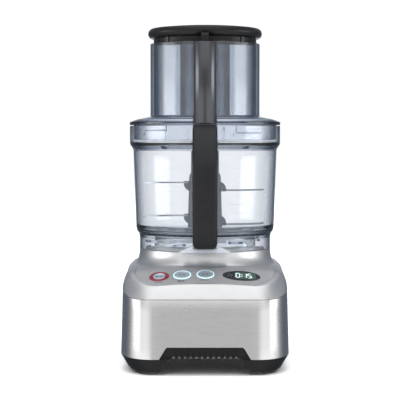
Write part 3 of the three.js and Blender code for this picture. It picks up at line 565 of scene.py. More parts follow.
def deck_height(x, y):
    depth = AXIS_Y - y
    run = depth - DECK["slope_start"]
    ramp = (run + math.hypot(run, DECK["softness"])) / 2
    bow = x * x / (4 * DECK["bow_radius"]) * (1 + smooth((depth - 30) / 80))
    return DECK["top"] - DECK["slope"] * ramp - bow


def at_height(points, height):
    return [(x, y, height(x, y) if callable(height) else height) for x, y in points]


def circle_facing(points, radius):
    """The point of a circle round the bowl axis that faces each outline point."""
    facing = []
    for x, y in points:
        angle = math.atan2(y - AXIS_Y, x)
        facing.append((radius * math.cos(angle), AXIS_Y + radius * math.sin(angle)))
    return facing


def on_panel(x, depth):
    """The matrix of a frame on the panel, its z along the outward normal, in millimetres."""
    y = AXIS_Y - depth
    step = 0.5
    slope_x = (deck_height(x + step, y) - deck_height(x - step, y)) / (2 * step)
    slope_y = (deck_height(x, y + step) - deck_height(x, y - step)) / (2 * step)
    normal = Vector((-slope_x, -slope_y, 1)).normalized()
    turn = Vector((0, 0, 1)).rotation_difference(normal).to_matrix().to_4x4()
    return Matrix.Translation((x, y, deck_height(x, y))) @ turn


def arch_outline(half_top, half_bottom, bottom, top, corner=4, steps=8):
    """A trapezium standing on its wide side, with rounded upper corners, in x and z."""
    return rounded(
        [(-half_bottom, bottom), (half_bottom, bottom), (half_top, top, corner), (-half_top, top, corner)],
        steps=steps,
    )


def at_rear(obj, height):
    """Lays down a mesh that was turned round the vertical, so that it points backwards at a height."""
    obj.data.transform(Matrix.Translation((0, 0, height * MM)) @ Matrix.Rotation(math.radians(-90), 4, "X"))
    return obj


# ---------------------------------------------------------------- lower base
def base_skirt():
    """Brushed steel skirt with a rolled lower hem, a notch for the grille and a hole for the cord."""
    wall, draft, low = BASE["wall"], BASE["draft"], BASE["skirt_bottom"]

    def below_crease(drop):
        return lambda x, y: crease_height(y) - GAP / 2 - drop

    def up_the_wall(share):
        return lambda x, y: low + 0.9 + (crease_height(y) - GAP / 2 - 1.5 - low) * share

    rings = [at_height(base_outline(0.5), low), at_height(base_outline(0.1), low + 0.3)]
    steps = 5
    for k in range(steps + 1):
        share = k / steps
        rings.append(at_height(base_outline(draft * share), up_the_wall(share)))
    rings += [
        at_height(base_outline(draft + 0.15), below_crease(0.2)),
        at_height(base_outline(draft + 0.6), below_crease(0)),
        at_height(base_outline(draft + wall - 0.2), below_crease(0)),
        at_height(base_outline(draft + wall), below_crease(0.4)),
        at_height(base_outline(wall), low + 0.5),
        at_height(base_outline(wall - 0.4), low),
    ]
    skirt = loft("brushed_skirt", rings, closed_section=True)
    notch_outline = arch_outline(NOTCH["half_top"], NOTCH["half_bottom"], low - 1, NOTCH["top"])
    notch = prism("notch", notch_outline, -FAR_OUT, -110, from_front)
    hole = at_rear(cylinder("hole", 9, 110, FAR_OUT, 48, y=0), GLAND_HEIGHT)
    cut(skirt, notch, hole)
    finish(skirt, "base", "brushed_steel", "base_skirt", sharp=30)


def front_grille():
    """The dark grille in the skirt's notch, with a row of twelve short upright teeth whose tips carry a
    painted highlight in lighter grey.
    """
    count, pitch = 12, 7
    front = -BASE["half_depth"] + 0.6
    back = front + 1.8
    top = NOTCH["top"] - 0.6
    plate_outline = arch_outline(NOTCH["half_top"] - 0.6, NOTCH["half_top"] + 4, 25.5, top, 3.5)
    plate = prism("intake_grille", plate_outline, front, back, from_front)
    bevelled(plate, 0.35)
    finish(plate, "base", "black_plastic", "front_grille")
    for k in range(count):
        x = (k - (count - 1) / 2) * pitch
        rib = prism(f"grille_rib_{k + 1}", bar_outline(x, 29.6, 1.6, 4.4, 1.4),
                    front - 0.9, front + 0.4, from_front)
        finish(bevelled(rib, 0.4), "base", "black_plastic")
        # each tooth's tip is painted lighter grey: a painted highlight for the light that the rounded tips
        # catch
        tip = prism(f"grille_tip_{k + 1}", bar_outline(x, 24.0, 1.5, 1.1, 0.6),
                    front - 1.1, front + 0.6, from_front)
        finish(bevelled(tip, 0.3), "base", "black_plastic", material="print_and_tip_highlight_grey")


def chassis():
    """Black moulded tray with four splayed legs, arched between them on every side."""
    leg_bottom, inset = 3, 12
    top = BASE["skirt_bottom"] - GAP
    rings = [
        at_height(base_outline(inset + 1.2), leg_bottom),
        at_height(base_outline(inset), leg_bottom + 0.5),
        at_height(base_outline(inset - 1.6), leg_bottom + 1.4),
        at_height(base_outline(inset - 3), leg_bottom + 3),
        at_height(base_outline(0.6), top - 0.5),
        at_height(base_outline(0.9), top),
        at_height(base_outline(BASE["wall"] + 0.5), top + 0.05),
        at_height(base_outline(BASE["wall"] + 1.2), BASE["chassis_top"]),
    ]
    tray = loft("chassis_tray", rings)
    inner = loft("inner", [at_height(base_outline(6), z) for z in (26, BASE["chassis_top"] + 5)])
    tunnel = prism("tunnel", arch_outline(44, 57, leg_bottom - 1, 23, 5), -FAR_OUT, FAR_OUT, from_front)
    side = prism("side", arch_outline(50, 58, leg_bottom - 1, 14, 4), -FAR_OUT, FAR_OUT, front_to_back)
    hole = at_rear(cylinder("hole", 12.4, 100, FAR_OUT, 48, y=0), GLAND_HEIGHT)
    cut(tray, inner, tunnel, side, hole)
    slots = []
    for k in range(5):
        vent = bar_outline((k - 2) * 12, AXIS_Y, 3, 28, 3, 5)
        slots.append(prism(f"slot_{k}", vent, 20, 30, from_above))
    wells = []
    for sx, sy in CORNERS.values():
        wells.append(cylinder("foot_well", 12.3, 0, 5, 48, sx * FOOT_X, sy * FOOT_Y))
        wells.append(cylinder("screw_well", 4.4, 0, 10.2, 32, sx * SCREW_X, sy * SCREW_Y))
        wells.append(cylinder("screw_hole", 2.4, 9, 32, 24, sx * SCREW_X, sy * SCREW_Y))
    cut(tray, *slots, *wells)
    finish(tray, "base", "black_plastic", "chassis", sharp=32)


def feet_and_screws():
    foot_section = [
        (0, 0.5), (3, 0.5, 0.3), (3.6, 0, 0.3), (8.2, 0, 0.3), (8.8, 0.6, 0.2), (9.6, 0.6, 0.2),
        (10.1, 0, 0.3), (11, 0, 0.6), (12, 1.2, 0.6), (12, 4.7, 0.3), (0, 4.7),
    ]
    screw_section = [
        (0, 7), (3.4, 7, 0.5), (4, 7.8, 0.5), (4, 9.8, 0.2), (2, 9.8), (2, 61, 0.3), (0, 64),
    ]
    for name, (sx, sy) in CORNERS.items():
        foot = lathe(f"rubber_foot_{name}", foot_section, 64, sx * FOOT_X, sy * FOOT_Y)
        finish(foot, "base", "rubber_black", f"foot_{name}")
        screw = lathe(f"screw_{name}", screw_section, 40, sx * SCREW_X, sy * SCREW_Y)
        bar = block("bar", (-2.6, -0.5, 6), (2.6, 0.5, 8.3))
        cross = fuse(bar, block("crossbar", (-0.5, -2.6, 6), (0.5, 2.6, 8.3)))
        cut(screw, placed(cross, Matrix.Translation((sx * SCREW_X, sy * SCREW_Y, 0))))
        finish(screw, "base", "steel", f"chassis_screw_{name}")


def cord_gland():
    section = [
        (3.8, 125.5, 0.3), (12, 125.5, 0.3), (12, 130.1, 0.3), (8.6, 130.1), (8.6, 131.2, 0.3),
        (8, 131.6, 0.2), (8.6, 132.1, 0.3), (8.6, 133.3, 0.5), (3.8, 133.3, 0.6),
    ]
    gland = at_rear(lathe("cord_inlet_gland", section, 64, y=0), GLAND_HEIGHT)
    finish(gland, "base", "rubber_black", "cord_gland")


# ---------------------------------------------------------------- cover and control panel
def shoulder_rings(edge, inner, steps=16):
    """From the parting line up to the deck: nearly a flat chamfer across the front, rounder elsewhere."""
    rings = []
    for k in range(steps + 1):
        angle = math.pi / 2 * (1 - k / steps)
        ring = []
        for (ex, ey), (ix, iy) in zip(edge, inner):
            squareness = 2.1 - 0.92 * smooth((-60 - ey) / 60)
            out = math.sin(angle) ** (2 / squareness)
            up = math.cos(angle) ** (2 / squareness)
            low = crease_height(ey) + GAP / 2 + 0.5
            ring.append((ix + (ex - ix) * out, iy + (ey - iy) * out, low + (deck_height(ix, iy) - low) * up))
        rings.append(ring)
    return rings


def panel_solid(name, grow, low, high):
    """The control panel's space, from the foot of the neck to the shoulder and low..high off the deck."""
    across, ahead = 24, 120
    border = outline(PANEL["half_width"] + grow, PANEL["front_depth"] - AXIS_Y + grow, PANEL["front_depth"],
                     PANEL["corner_x"] + grow, PANEL["corner_y"] + grow, 24, 30)
    reach = sorted((math.atan2(y - AXIS_Y, x) % (2 * math.pi), math.hypot(x, y - AXIS_Y)) for x, y in border)

    def border_reach(angle):
        for (a0, r0), (a1, r1) in zip(reach, reach[1:]):
            if a0 <= angle <= a1:
                return r0 + (r1 - r0) * (angle - a0) / max(a1 - a0, 1e-9)
        return reach[-1][1]

    inner = NECK["foot"] + 1.4 - 2 * grow
    end = math.asin((PANEL["rear_depth"] - 2 * grow) / inner)
    grid = []
    for k in range(ahead + 1):
        angle = math.pi + end + (math.pi - 2 * end) * k / ahead
        outer = border_reach(angle)
        row = []
        for j in range(across + 1):
            radius = inner + (outer - inner) * j / across
            x, y = radius * math.cos(angle), AXIS_Y + radius * math.sin(angle)
            row.append((x, y, deck_height(x, y)))
        grid.append(row)
    rings = []
    for row in grid:
        top = [(x, y, z + high) for x, y, z in row]
        bottom = [(x, y, z + low) for x, y, z in reversed(row)]
        rings.append(top + bottom)
    return loft(name, rings)


def panel_holes(grow):
    """Cutters for the three buttons and the display."""
    holes = []
    for name, (x, depth, ring, _) in BUTTONS.items():
        bore = cylinder(f"hole_{name}", ring + grow, -14, 6, 72, y=0)
        holes.append(placed(bore, on_panel(x, depth)))
    oval_outline = disc_outline(DISPLAY["half_width"] + grow, DISPLAY["half_height"] + grow)
    oval = prism("hole_display", oval_outline, -9, 6, from_above)
    holes.append(placed(oval, on_panel(DISPLAY["x"], DISPLAY["depth"])))
    return holes


def base_cover():
    """Die-cast upper housing: shoulder, sloping front deck, flared neck and the platform under the bowl."""
    tongue_inset = BASE["draft"] + BASE["wall"] + 0.6
    edge, inner = base_outline(BASE["draft"]), deck_outline(0)
    foot = circle_facing(inner, NECK["foot"])

    def above_crease(rise):
        return lambda x, y: crease_height(y) + GAP / 2 + rise

    rings = [
        at_height(base_outline(tongue_inset), BASE["tongue_bottom"]),
        at_height(base_outline(tongue_inset), above_crease(0)),
        at_height(base_outline(BASE["draft"] + 0.7), above_crease(0)),
        at_height(base_outline(BASE["draft"] + 0.15), above_crease(0.15)),
        *shoulder_rings(edge, inner),
    ]
    deck_steps = 5
    for k in range(1, deck_steps + 1):
        share = k / deck_steps
        ring = [(x + (fx - x) * share, y + (fy - y) * share) for (x, y), (fx, fy) in zip(inner, foot)]
        rings.append(at_height(ring, deck_height))
    flare_steps = 12
    flare_width = NECK["foot"] - NECK["radius"]
    for k in range(1, flare_steps + 1):
        angle = math.pi / 2 * k / flare_steps
        ring = circle_facing(inner, NECK["foot"] - flare_width * math.sin(angle))
        low = [deck_height(x, y) for x, y in foot]
        rings.append([(x, y, NECK["top"] - 0.5 - (NECK["top"] - 0.5 - z) * math.cos(angle))
                      for (x, y), z in zip(ring, low)])
    platform, platform_top = NECK["platform"], NECK["platform_top"]
    for radius, z in rounded([
        (NECK["radius"] - 0.1, NECK["top"] - 0.2), (NECK["radius"] - 0.4, NECK["top"]),
        (platform + 1.5, NECK["top"], 0.4), (platform, platform_top, 1.4), (12, platform_top, 0.5),
        (11, platform_top - 1, 0.5), (11, 141, 0.3), (77, 141), (79, 134), (86, 121),
    ], closed=False, steps=4):
        rings.append(at_height(circle_facing(inner, radius), z))
    hollow = BASE["draft"] + BASE["wall"] + 3
    rings += [
        at_height(deck_outline(4.5), lambda x, y: deck_height(x, y) - 6),
        at_height(base_outline(hollow), lambda x, y: crease_height(y)),
        at_height(base_outline(hollow), BASE["tongue_bottom"]),
    ]
    cover = loft("cast_cover", rings, closed_section=True)
    pocket = panel_solid("pocket", GAP, -PANEL["thickness"] - GAP, 12)
    plunger = middle("switch_plunger")
    bore = cylinder("plunger_hole", 2.3, 100, 160, 32, plunger.x, plunger.y)
    cut(cover, pocket)
    cut(cover, *panel_holes(0.4), bore)
    finish(cover, "base", "die_cast", "base_cover", sharp=28)


def control_panel():
    panel = panel_solid("front_control_panel", 0, -PANEL["thickness"], 0)
    cut(panel, *panel_holes(0.4))
    bevelled(panel, 0.3, 2, 60)
    finish(panel, "base", "panel_grey", "control_panel", sharp=30)


def buttons():
    """Dished caps in translucent light rings."""
    for name, (x, depth, ring, cap) in BUTTONS.items():
        matrix = on_panel(x, depth)
        cap_section = [
            (0, -6.4), (2.5, -6.4, 0.3), (2.5, -3.5), (cap, -3.5, 0.3), (cap, 0.9, 0.5),
            (cap - 1.4, 1.1, 0.5), (cap - 3, 0.6, 1.5), (cap * 0.4, 0.42, 2), (0, 0.4),
        ]
        dished = placed(lathe(f"{name}_cap", cap_section, 96, y=0), matrix)
        finish(dished, f"{name}_button", "button_metal", f"{name}_button")
        ring_section = [
            (cap + 0.35, -4.2, 0.2), (ring, -4.2, 0.2), (ring, 0.5, 0.5), ((ring + cap) / 2, 0.75, 0.8),
            (cap + 0.35, 0.5, 0.4),
        ]
        light = placed(lathe(f"{name}_light_ring", ring_section, 96, y=0), matrix)
        finish(light, "base", "ring_red" if name == "power" else "ring_pale", f"{name}_ring")


def flat_mark(name, matrix, outline_points, low, high):
    return placed(prism(name, outline_points, low, high, from_above), matrix)


def bar_outline(x, y, half_width, half_height, corner=None, steps=3):
    """A small bar with rounded corners."""
    corner = min(half_width, half_height) * 0.9 if corner is None else corner
    left, right = x - half_width, x + half_width
    low, high = y - half_height, y + half_height
    return rounded(
        [(left, low, corner), (right, low, corner), (right, high, corner), (left, high, corner)], steps=steps,
    )


def panel_marks():
    """Plain printed dashes below each button and a faint symbol on each cap."""
    for name, (x, depth, ring, _) in BUTTONS.items():
        widths = {"power": (2.1, 2.1), "start": (2.6, 1.4), "pulse": (3.0, 1.2)}[name]
        rows = 2 if name == "start" else 1
        for row in range(rows):
            matrix = on_panel(x, depth + ring + 2.6 + 2.3 * row)
            left = -widths[0] - 0.4
            right = widths[1] + 0.4
            for k, (at, half) in enumerate(((left, widths[0]), (right, widths[1]))):
                dash = bar_outline(at, 0, half, 0.65)
                mark = flat_mark(f"{name}_mark_{row}_{k}", matrix, dash, -0.05, 0.05)
                finish(mark, "base", "panel_grey", material="print_dark")
        matrix = on_panel(x, depth)
        for k, at in enumerate((-2.2, 2.2)):
            symbol = flat_mark(f"{name}_symbol_{k}", matrix, bar_outline(at, 0, 1.6, 0.7), 0.3, 0.53)
            finish(symbol, f"{name}_button", "button_metal", material="print_dark")


SEGMENTS = {  # lit bars: top, upper left, upper right, middle, lower left, lower right, foot
    "0": (1, 1, 1, 0, 1, 1, 1),
    "1": (0, 0, 1, 0, 0, 1, 0),
    "5": (1, 1, 0, 1, 0, 1, 1),
}


def digit_bars(x, width, height, thick):
    """The seven bars of one digit as outlines, in the order of SEGMENTS."""
    w, h = width / 2, height / 2

    def flat(y):
        return bar_outline(x, y, w - thick * 0.4, thick / 2)

    def upright(sx, sy):
        return bar_outline(x + sx * w, sy * h / 2, thick / 2, h / 2 - thick * 0.35)

    return [flat(h), upright(-1, 1), upright(1, 1), flat(0), upright(-1, -1), upright(1, -1), flat(-h)]


def display():
    """A dark oval window with a lit panel that counts a quarter of an hour."""
    matrix = on_panel(DISPLAY["x"], DISPLAY["depth"])
    rx, ry = DISPLAY["half_width"], DISPLAY["half_height"]
    levels = [(1.0, -1.6), (1.0, 0.2), (0.985, 0.36), (0.95, 0.44), (0.8, 0.47), (0.5, 0.49), (0.2, 0.5)]
    rings = [[(u * share, v * share, z) for u, v in disc_outline(rx, ry)] for share, z in levels]
    lens = placed(loft("display_window", rings), matrix)
    finish(lens, "base", "display_dark", "display_lens", sharp=50)
    half_width, half_height, centre = 13.4, 8.4, 4.6
    lit = rounded([(centre - half_width, -half_height, 1), (centre + half_width, -half_height, 5),
                   (centre + half_width, half_height, 5), (centre - half_width, half_height, 1)])
    panel = flat_mark("display_lit_panel", matrix, lit, 0.3, 0.53)
    finish(panel, "base", "display_dark", material="lcd_glow")
    places = {-4.6: "0", 3.9: "1", 10.2: "5"}
    for x, digit in places.items():
        for k, bar in enumerate(digit_bars(x, 4.4, 11, 1.5)):
            if SEGMENTS[digit][k]:
                lit_bar = flat_mark(f"digit_{digit}_{k}", matrix, bar, 0.45, 0.62)
                finish(lit_bar, "base", "display_dark", material="lcd_digits")
    for k, y in enumerate((-2.6, 2.6)):
        dot = flat_mark(f"digit_dot_{k}", matrix, bar_outline(0.4, y, 0.8, 0.8), 0.45, 0.62)
        finish(dot, "base", "display_dark", material="lcd_digits")
    for k, y in enumerate((-2.2, 2.2)):
        dash = flat_mark(f"display_mark_{k}", matrix, bar_outline(-14.6, y, 3.2, 0.5), 0.3, 0.52)
        finish(dash, "base", "display_dark", material="print_and_tip_highlight_grey")


# ---------------------------------------------------------------- drive
def drive_end():
    """The shaft with its hexagonal tip, and the lip seal it comes up through."""
    radius, tip_low, tip_high = 6, 215.5, 226
    shaft = lathe("motor_shaft", [(0, 27.6), (6, 27.6, 0.6), (6, 216, 0.8), (5.2, 217, 0.3), (0, 217)], 64)
    turns = [math.radians(60 * k) for k in range(6)]
    hexagon = [(radius * math.cos(turn), AXIS_Y + radius * math.sin(turn)) for turn in turns]
    tip = bevelled(prism("tip", hexagon, tip_low, tip_high, from_above), 0.4)
    fuse(shaft, tip)
    finish(shaft, "motor", "steel", "drive_shaft", sharp=30)
    seal = lathe("shaft_lip_seal", [
        (6.6, 148), (10.6, 148, 0.2), (10.6, 152.8), (16, 152.8, 0.3), (16, 154.6, 0.6), (12, 156, 1),
        (9.6, 158, 1), (8.6, 162, 0.5), (6.6, 162, 0.3),
    ], 96)
    finish(seal, "base", "rubber_black", "shaft_seal")
    bush = lathe("bowl_centre_bush", [
        (7.2, 198, 0.3), (10.7, 198, 0.3), (10.7, 212.3), (13.4, 212.3, 0.2), (13.4, 214.2, 0.5),
        (7.2, 214.2, 0.4),
    ], 96)
    finish(bush, "bush", "steel", "bowl_bush")
    body = lathe("blade_spindle", [
        (0, 230.5), (17.2, 230.5, 0.8), (17.2, 173.8, 0.6), (15, 173.8, 0.6), (15, 216.6, 0.5),
        (6.5, 216.6, 0.3), (6.5, 227), (0, 227),
    ], 96)
    finish(body, "blade_set", "hub_slate", "drive_spindle")


# ---------------------------------------------------------------- bowl and handle
WALL_FOOT = (91.6, 176.5)  # radius and height of the flared wall's lower and upper end
WALL_HEAD = (95.2, 277.4)


def bowl():
    """Clear bowl: foot, flared wall, stepped collar, centre tube, and the twist-lock ring under the floor."""
    low, top = BOWL_FOOT, BOWL_TOP
    section = [
        (83.8, low, 0.5), (86.8, low, 0.6), (86.8, 163, 2), (88, 168, 2), (90.6, 171.5, 3),
        (*WALL_FOOT, 4), (*WALL_HEAD, 1.5), (95.9, 279.6, 1.2), (99.2, 284.6, 2), (99.8, 287, 1.5),
        (99.8, top, 0.9), (97, top, 0.9), (97, 287.6, 1), (92.2, 285.4, 0.8), (92.2, 278, 3), (88.6, 180, 4),
        (86.6, 174.4, 3), (82.6, 171.5, 3), (14, 173, 1.5), (13.4, 212, 0.6), (11, 212, 0.4), (11, 168, 0.5),
        (64, 168, 0.5), (64, 153.6, 0.5), (67, 153.6, 0.5), (67, 168, 0.5), (83.8, 168, 0.5),
    ]
    body = lathe("clear_bowl", section, 192)
    tabs = []
    for turn in (30, 120, 210, 300):
        tab = block("tab", (66.5, AXIS_Y - 7, 158), (84.4, AXIS_Y + 7, 161))
        tabs.append(spun(tab, turn))
    for turn in (14, 104, 194, 284):
        tabs.append(arc_block("stop", 95.8, 97.8, turn - 0.7, turn + 0.7, 289.5, 306, 2))
    slot = block("toe_slot", (-2.5, AXIS_Y - 95, 154.6), (2.5, AXIS_Y - 75, 162.4))
    fuse(body, *tabs)
    cut(body, slot)
    finish(body, "bowl", "clear_plastic", "bowl", sharp=30)


def bowl_scales():
    """Faint moulded measuring ticks on the front wall, left and right of the handle."""
    wall_slope = (WALL_HEAD[0] - WALL_FOOT[0]) / (WALL_HEAD[1] - WALL_FOOT[1])
    for side, angle in (("left", -28.8), ("right", 28.8)):
        for k in range(8):
            z = 186 + 11.5 * k
            radius = WALL_FOOT[0] + wall_slope * (z - WALL_FOOT[1])
            half = 5 if k % 2 else 8.8
            start = -90 + angle - half
            tick = arc_block(f"scale_{side}_{k + 1}", radius - 0.35, radius + 0.12, start, start + 2 * half,
                             z - 0.2, z + 0.2, 6)
            finish(tick, "bowl", "clear_plastic", material="frosted")


def grip_path():
    """The grip's outer line from top to bottom, as (depth, z)."""
    top, bottom = node_box("handle_grip")[1].z, node_box("handle_grip")[0].z
    path = [(108.3, top), (111, top), (114, top)]
    path += bezier((114, top), (128, top - 1), (GRIP_FAR - 2.4, top - 26), (GRIP_FAR, GRIP_FAR_Z), 22)
    path += bezier((GRIP_FAR, GRIP_FAR_Z), (GRIP_FAR, 224), (GRIP_FAR - 7, 184), (126, 162), 30)
    path += bezier((126, 162), (123, 157), (119, bottom), (114, bottom), 14)
    path += [(111, bottom), (108.3, bottom)]
    return path


def handle_grip():
    """Soft outer layer of the handle: a crowned band, rounded along both edges."""
    thickness, crown, taper_height = 7.6, 0.9, 6
    path = grip_path()
    lowest = path[-1][1]
    rings = []
    for i, (depth, z) in enumerate(path):
        before, after = Vector(path[max(i - 1, 0)]), Vector(path[min(i + 1, len(path) - 1)])
        along = (after - before).normalized()
        inward = Vector((along.y, -along.x))
        if i in (0, len(path) - 1):
            inward = Vector((0, -1 if i == 0 else 1))
        half = 15.5 - 4.2 * max(0, 1 - (z - lowest) / taper_height) ** 2
        section = rounded(
            [(-half, 0, 4.6), (half, 0, 4.6), (half, thickness, 0.5), (-half, thickness, 0.5)], steps=8,
        )
        ring = []
        for x, offset in section:
            offset += crown * (x / half) ** 2 * (1 - offset / thickness)
            at = Vector((depth, z)) + inward * offset
            ring.append((x, AXIS_Y - at.x, at.y))
        rings.append(ring)
    grip = loft("soft_grip_cover", rings)
    finish(grip, "bowl", "soft_grip", "handle_grip", sharp=50)


def frame_outline():
    """The handle's core from the side, inside the grip, as (depth, z)."""
    top, bottom, skin = 310.6, 153.8, 8
    far = GRIP_FAR - skin
    under = top - skin
    points = [(100.6, top), (108, top), (108, under), (114, under)]
    points += bezier((114, under), (127, under - 1), (far - 2.4, under - 26), (far, GRIP_FAR_Z))
    points += bezier((far, GRIP_FAR_Z), (far, 224), (far - 7, 184), (122, 166))
    points += bezier((122, 166), (119, 161), (119, bottom + skin), (114, bottom + skin), 8)
    points += [(108, bottom + skin), (108, bottom), (88, bottom), (88, 163.5), (93.2, 178), (96.6, 277.5),
               (100.6, 285.4)]
    return points


def finger_hole():
    near = ROD_DEPTH + 4.5
    points = [(near, 272)]
    points += bezier((near, 272), (near, 276.7), (near + 1.5, 279), (113, 279), 8)
    points += bezier((120, 279), (128, 279), (132, 273), (132, 263))
    points += bezier((132, 263), (132, 228), (127, 198), (120, 186))
    points += bezier((120, 186), (116, 179), (near, 179), (near, 188))
    return points


def handle_frame():
    """Rigid core of the handle, with the channel for its rod."""
    half = 14.4
    core = prism("handle_core", frame_outline(), -half, half, from_side)
    cut(core, prism("fingers", finger_hole(), -30, 30, from_side))
    seen_from_front = rounded([(-half, 153.8, 5), (half, 153.8, 5), (half, 320), (-half, 320)])
    keep_inside(core, prism("round_end", seen_from_front, -200, 0, from_front))
    bevelled(core, 1.6, 3, 60)
    bore = cylinder("bore", 2.5, 154.8, 330, 32, 0, AXIS_Y - ROD_DEPTH)
    slot = block("slot", (-2.5, AXIS_Y - ROD_DEPTH, 154.8), (2.5, AXIS_Y - 75, 162.2))
    cut(core, bore, slot)
    finish(core, "bowl", "handle_grey", "handle_frame", sharp=35)


def handle_foot():
    """Frosted fan that spreads from the bottom of the handle to the bowl's foot."""
    top, bottom = node_box("handle_foot")[1].z, BOWL_FOOT + 0.3
    wing_top = top + 3.4
    half, core_half = 16.2, 14.7
    curve = [(-33, bottom), (33, bottom)]
    curve += bezier((33, bottom), (28, bottom + 3.4), (22, bottom + 6), (half, wing_top), 10)
    curve += [(-half, wing_top)]
    curve += bezier((-half, wing_top), (-22, bottom + 6), (-28, bottom + 3.4), (-33, bottom), 10)[:-1]
    fan = prism("handle_fan_foot", curve, AXIS_Y - 106, AXIS_Y - 70, from_front)
    keep_inside(fan, lathe("sleeve", [(87.1, 140), (104, 140), (104, 162), (87.1, 162)], 192))
    cut(fan, block("core_space", (-core_half, AXIS_Y - 110, top), (core_half, AXIS_Y - 60, 170)))
    bevelled(fan, 0.5, 2)
    finish(fan, "bowl", "frosted", "handle_foot")


def rods():
    """The steel rods of the safety interlock and the plunger that they press."""
    y = AXIS_Y - ROD_DEPTH
    low, high = node_box("handle_rod")
    rod = lathe("handle_push_rod", [(0, low.z), (2, low.z, 0.3), (2, high.z, 0.5), (0, high.z)], 32, 0, y)
    toe = bevelled(block("toe", (low.x, y, 158.5), (high.x, AXIS_Y - 79, 161.5)), 0.3)
    finish(fuse(rod, toe), "handle_rod", "steel", "handle_rod")
    low, high = node_box("column_rod")
    upper = lathe("column_push_rod", [(0, low.z), (2, low.z, 0.5), (2, high.z, 0.5), (0, high.z)], 32, 0, y)
    finish(upper, "column_rod", "steel", "column_rod")
    low, high = node_box("switch_plunger")
    at = middle("switch_plunger")
    section = [(0, low.z), (1.8, low.z, 0.2), (1.8, high.z, 0.9), (0, high.z)]
    plunger = lathe("interlock_plunger", section, 32, at.x, at.y)
    finish(plunger, "switch_plunger", "black_plastic", "switch_plunger")


# ---------------------------------------------------------------- blades
BLADES = {  # height and turn of each
    f"blade_{level}_{side}": (middle(f"blade_{level}_{side}").z, turn)
    for level in ("upper", "lower") for side, turn in (("right", 0), ("left", 180))
}
BLADE_ROOT, BLADE_REACH, BLADE_HALF = 23.6, 81, 9.5


def blade_edges(steps=28):
    """The curved leading and trailing edges of a blade, from root to tip, as (x, y)."""
    front = [(BLADE_ROOT, AXIS_Y - BLADE_HALF)]
    tip = (BLADE_REACH, AXIS_Y + 30)
    front += bezier(front[0], (48, AXIS_Y - BLADE_HALF - 4), (79, AXIS_Y - 18), tip, steps)
    back = [(BLADE_ROOT, AXIS_Y + BLADE_HALF)]
    back += bezier(back[0], (46, AXIS_Y + BLADE_HALF), (66, AXIS_Y + 12), tip, steps)
    return front, back


def blades():
    """Ground steel blades with a bevelled leading edge."""
    half, edge, ground_width = 0.8, 0.25, 4.5
    for name, (z, turn) in BLADES.items():
        front, back = blade_edges()
        rings = []
        for (fx, fy), (bx, by) in zip(front[:-1], back[:-1]):
            ground = min(ground_width / math.hypot(bx - fx, by - fy), 0.5)
            section = [(0.0, -half), (1.0, -half), (1.0, half), (ground, half), (0.0, -half + edge)]
            rings.append([
                (fx + (bx - fx) * share, fy + (by - fy) * share, z + rise) for share, rise in section
            ])
        tip_x, tip_y = front[-1]
        rings.append([
            (tip_x - 0.2 * (k in (1, 2)), tip_y - 0.1, z - half + edge * (k > 1)) for k in range(5)
        ])
        blade = spun(loft(f"steel_{name}", rings), turn)
        finish(blade, "blade_set", "blade_steel", name, sharp=20)


def blade_hub():
    """Slate hub: a tapering body with a smaller domed top, and a boss round the root of each blade."""
    low, high = node_box("blade_hub")
    section = [
        (0, high.z), (11, 297.2, 3), (16.5, 294, 3), (18.6, 288, 3), (18.6, 248.5, 1.2), (19.8, 246, 1),
        (20.9, 243.5, 1), (21.6, 222, 4), (23, low.z, 0.6), (17.6, low.z, 0.4), (17.6, 231, 0.4),
        (12, 231, 0.4), (12, 288, 1), (0, 288),
    ]
    hub = lathe("blade_carrier_hub", section, 128)
    bosses = []
    for name, (z, turn) in BLADES.items():
        left = turn == 180
        flat = z + 1.6 if left else z - 1.6
        far = z - 11 if left else z + 11
        reach = flat + (far - flat) * 0.35
        outline_points = [(19, flat), (28, flat), (28, reach)]
        outline_points += bezier((28, reach), (27.3, flat + (far - flat) * 0.7), (24, far), (19, far), 10)
        boss = prism(f"boss_{name}", outline_points, AXIS_Y - 9, AXIS_Y + 9, from_front)
        bosses.append(spun(bevelled(boss, 0.9, 3, 50), turn))
    fuse(hub, *bosses)
    cut(hub, cylinder("clear", 17.6, 160, 231, 128))
    slots = []
    for name, (z, turn) in BLADES.items():
        front, back = blade_edges(12)
        points = [(BLADE_ROOT - 0.5, AXIS_Y - BLADE_HALF - 0.3)] + [(x, y - 0.3) for x, y in front[1:6]]
        points += [(x, y + 0.3) for x, y in reversed(back[1:6])]
        points.append((BLADE_ROOT - 0.5, AXIS_Y + BLADE_HALF + 0.3))
        slots.append(spun(prism(f"slot_{name}", points, z - 1.1, z + 1.1, from_above), turn))
    cut(hub, *slots)
    finish(hub, "blade_set", "hub_slate", "blade_hub", sharp=30)


# ---------------------------------------------------------------- lid and pushers
def dome_section(grow):
    """The lid's outer line from the foot of the chute to the underside of the rim."""
    rim = RIM_RADIUS
    return [(CHUTE_RADIUS + 1 + grow, 322 + grow, 1.2), (80, 320.8 + grow, 6), (90, 318.6 + grow, 5),
            (96, 316.4 + grow, 3), (rim + grow, 314.6, 1.0), (rim + grow, 310.5 - grow, 0.6)]


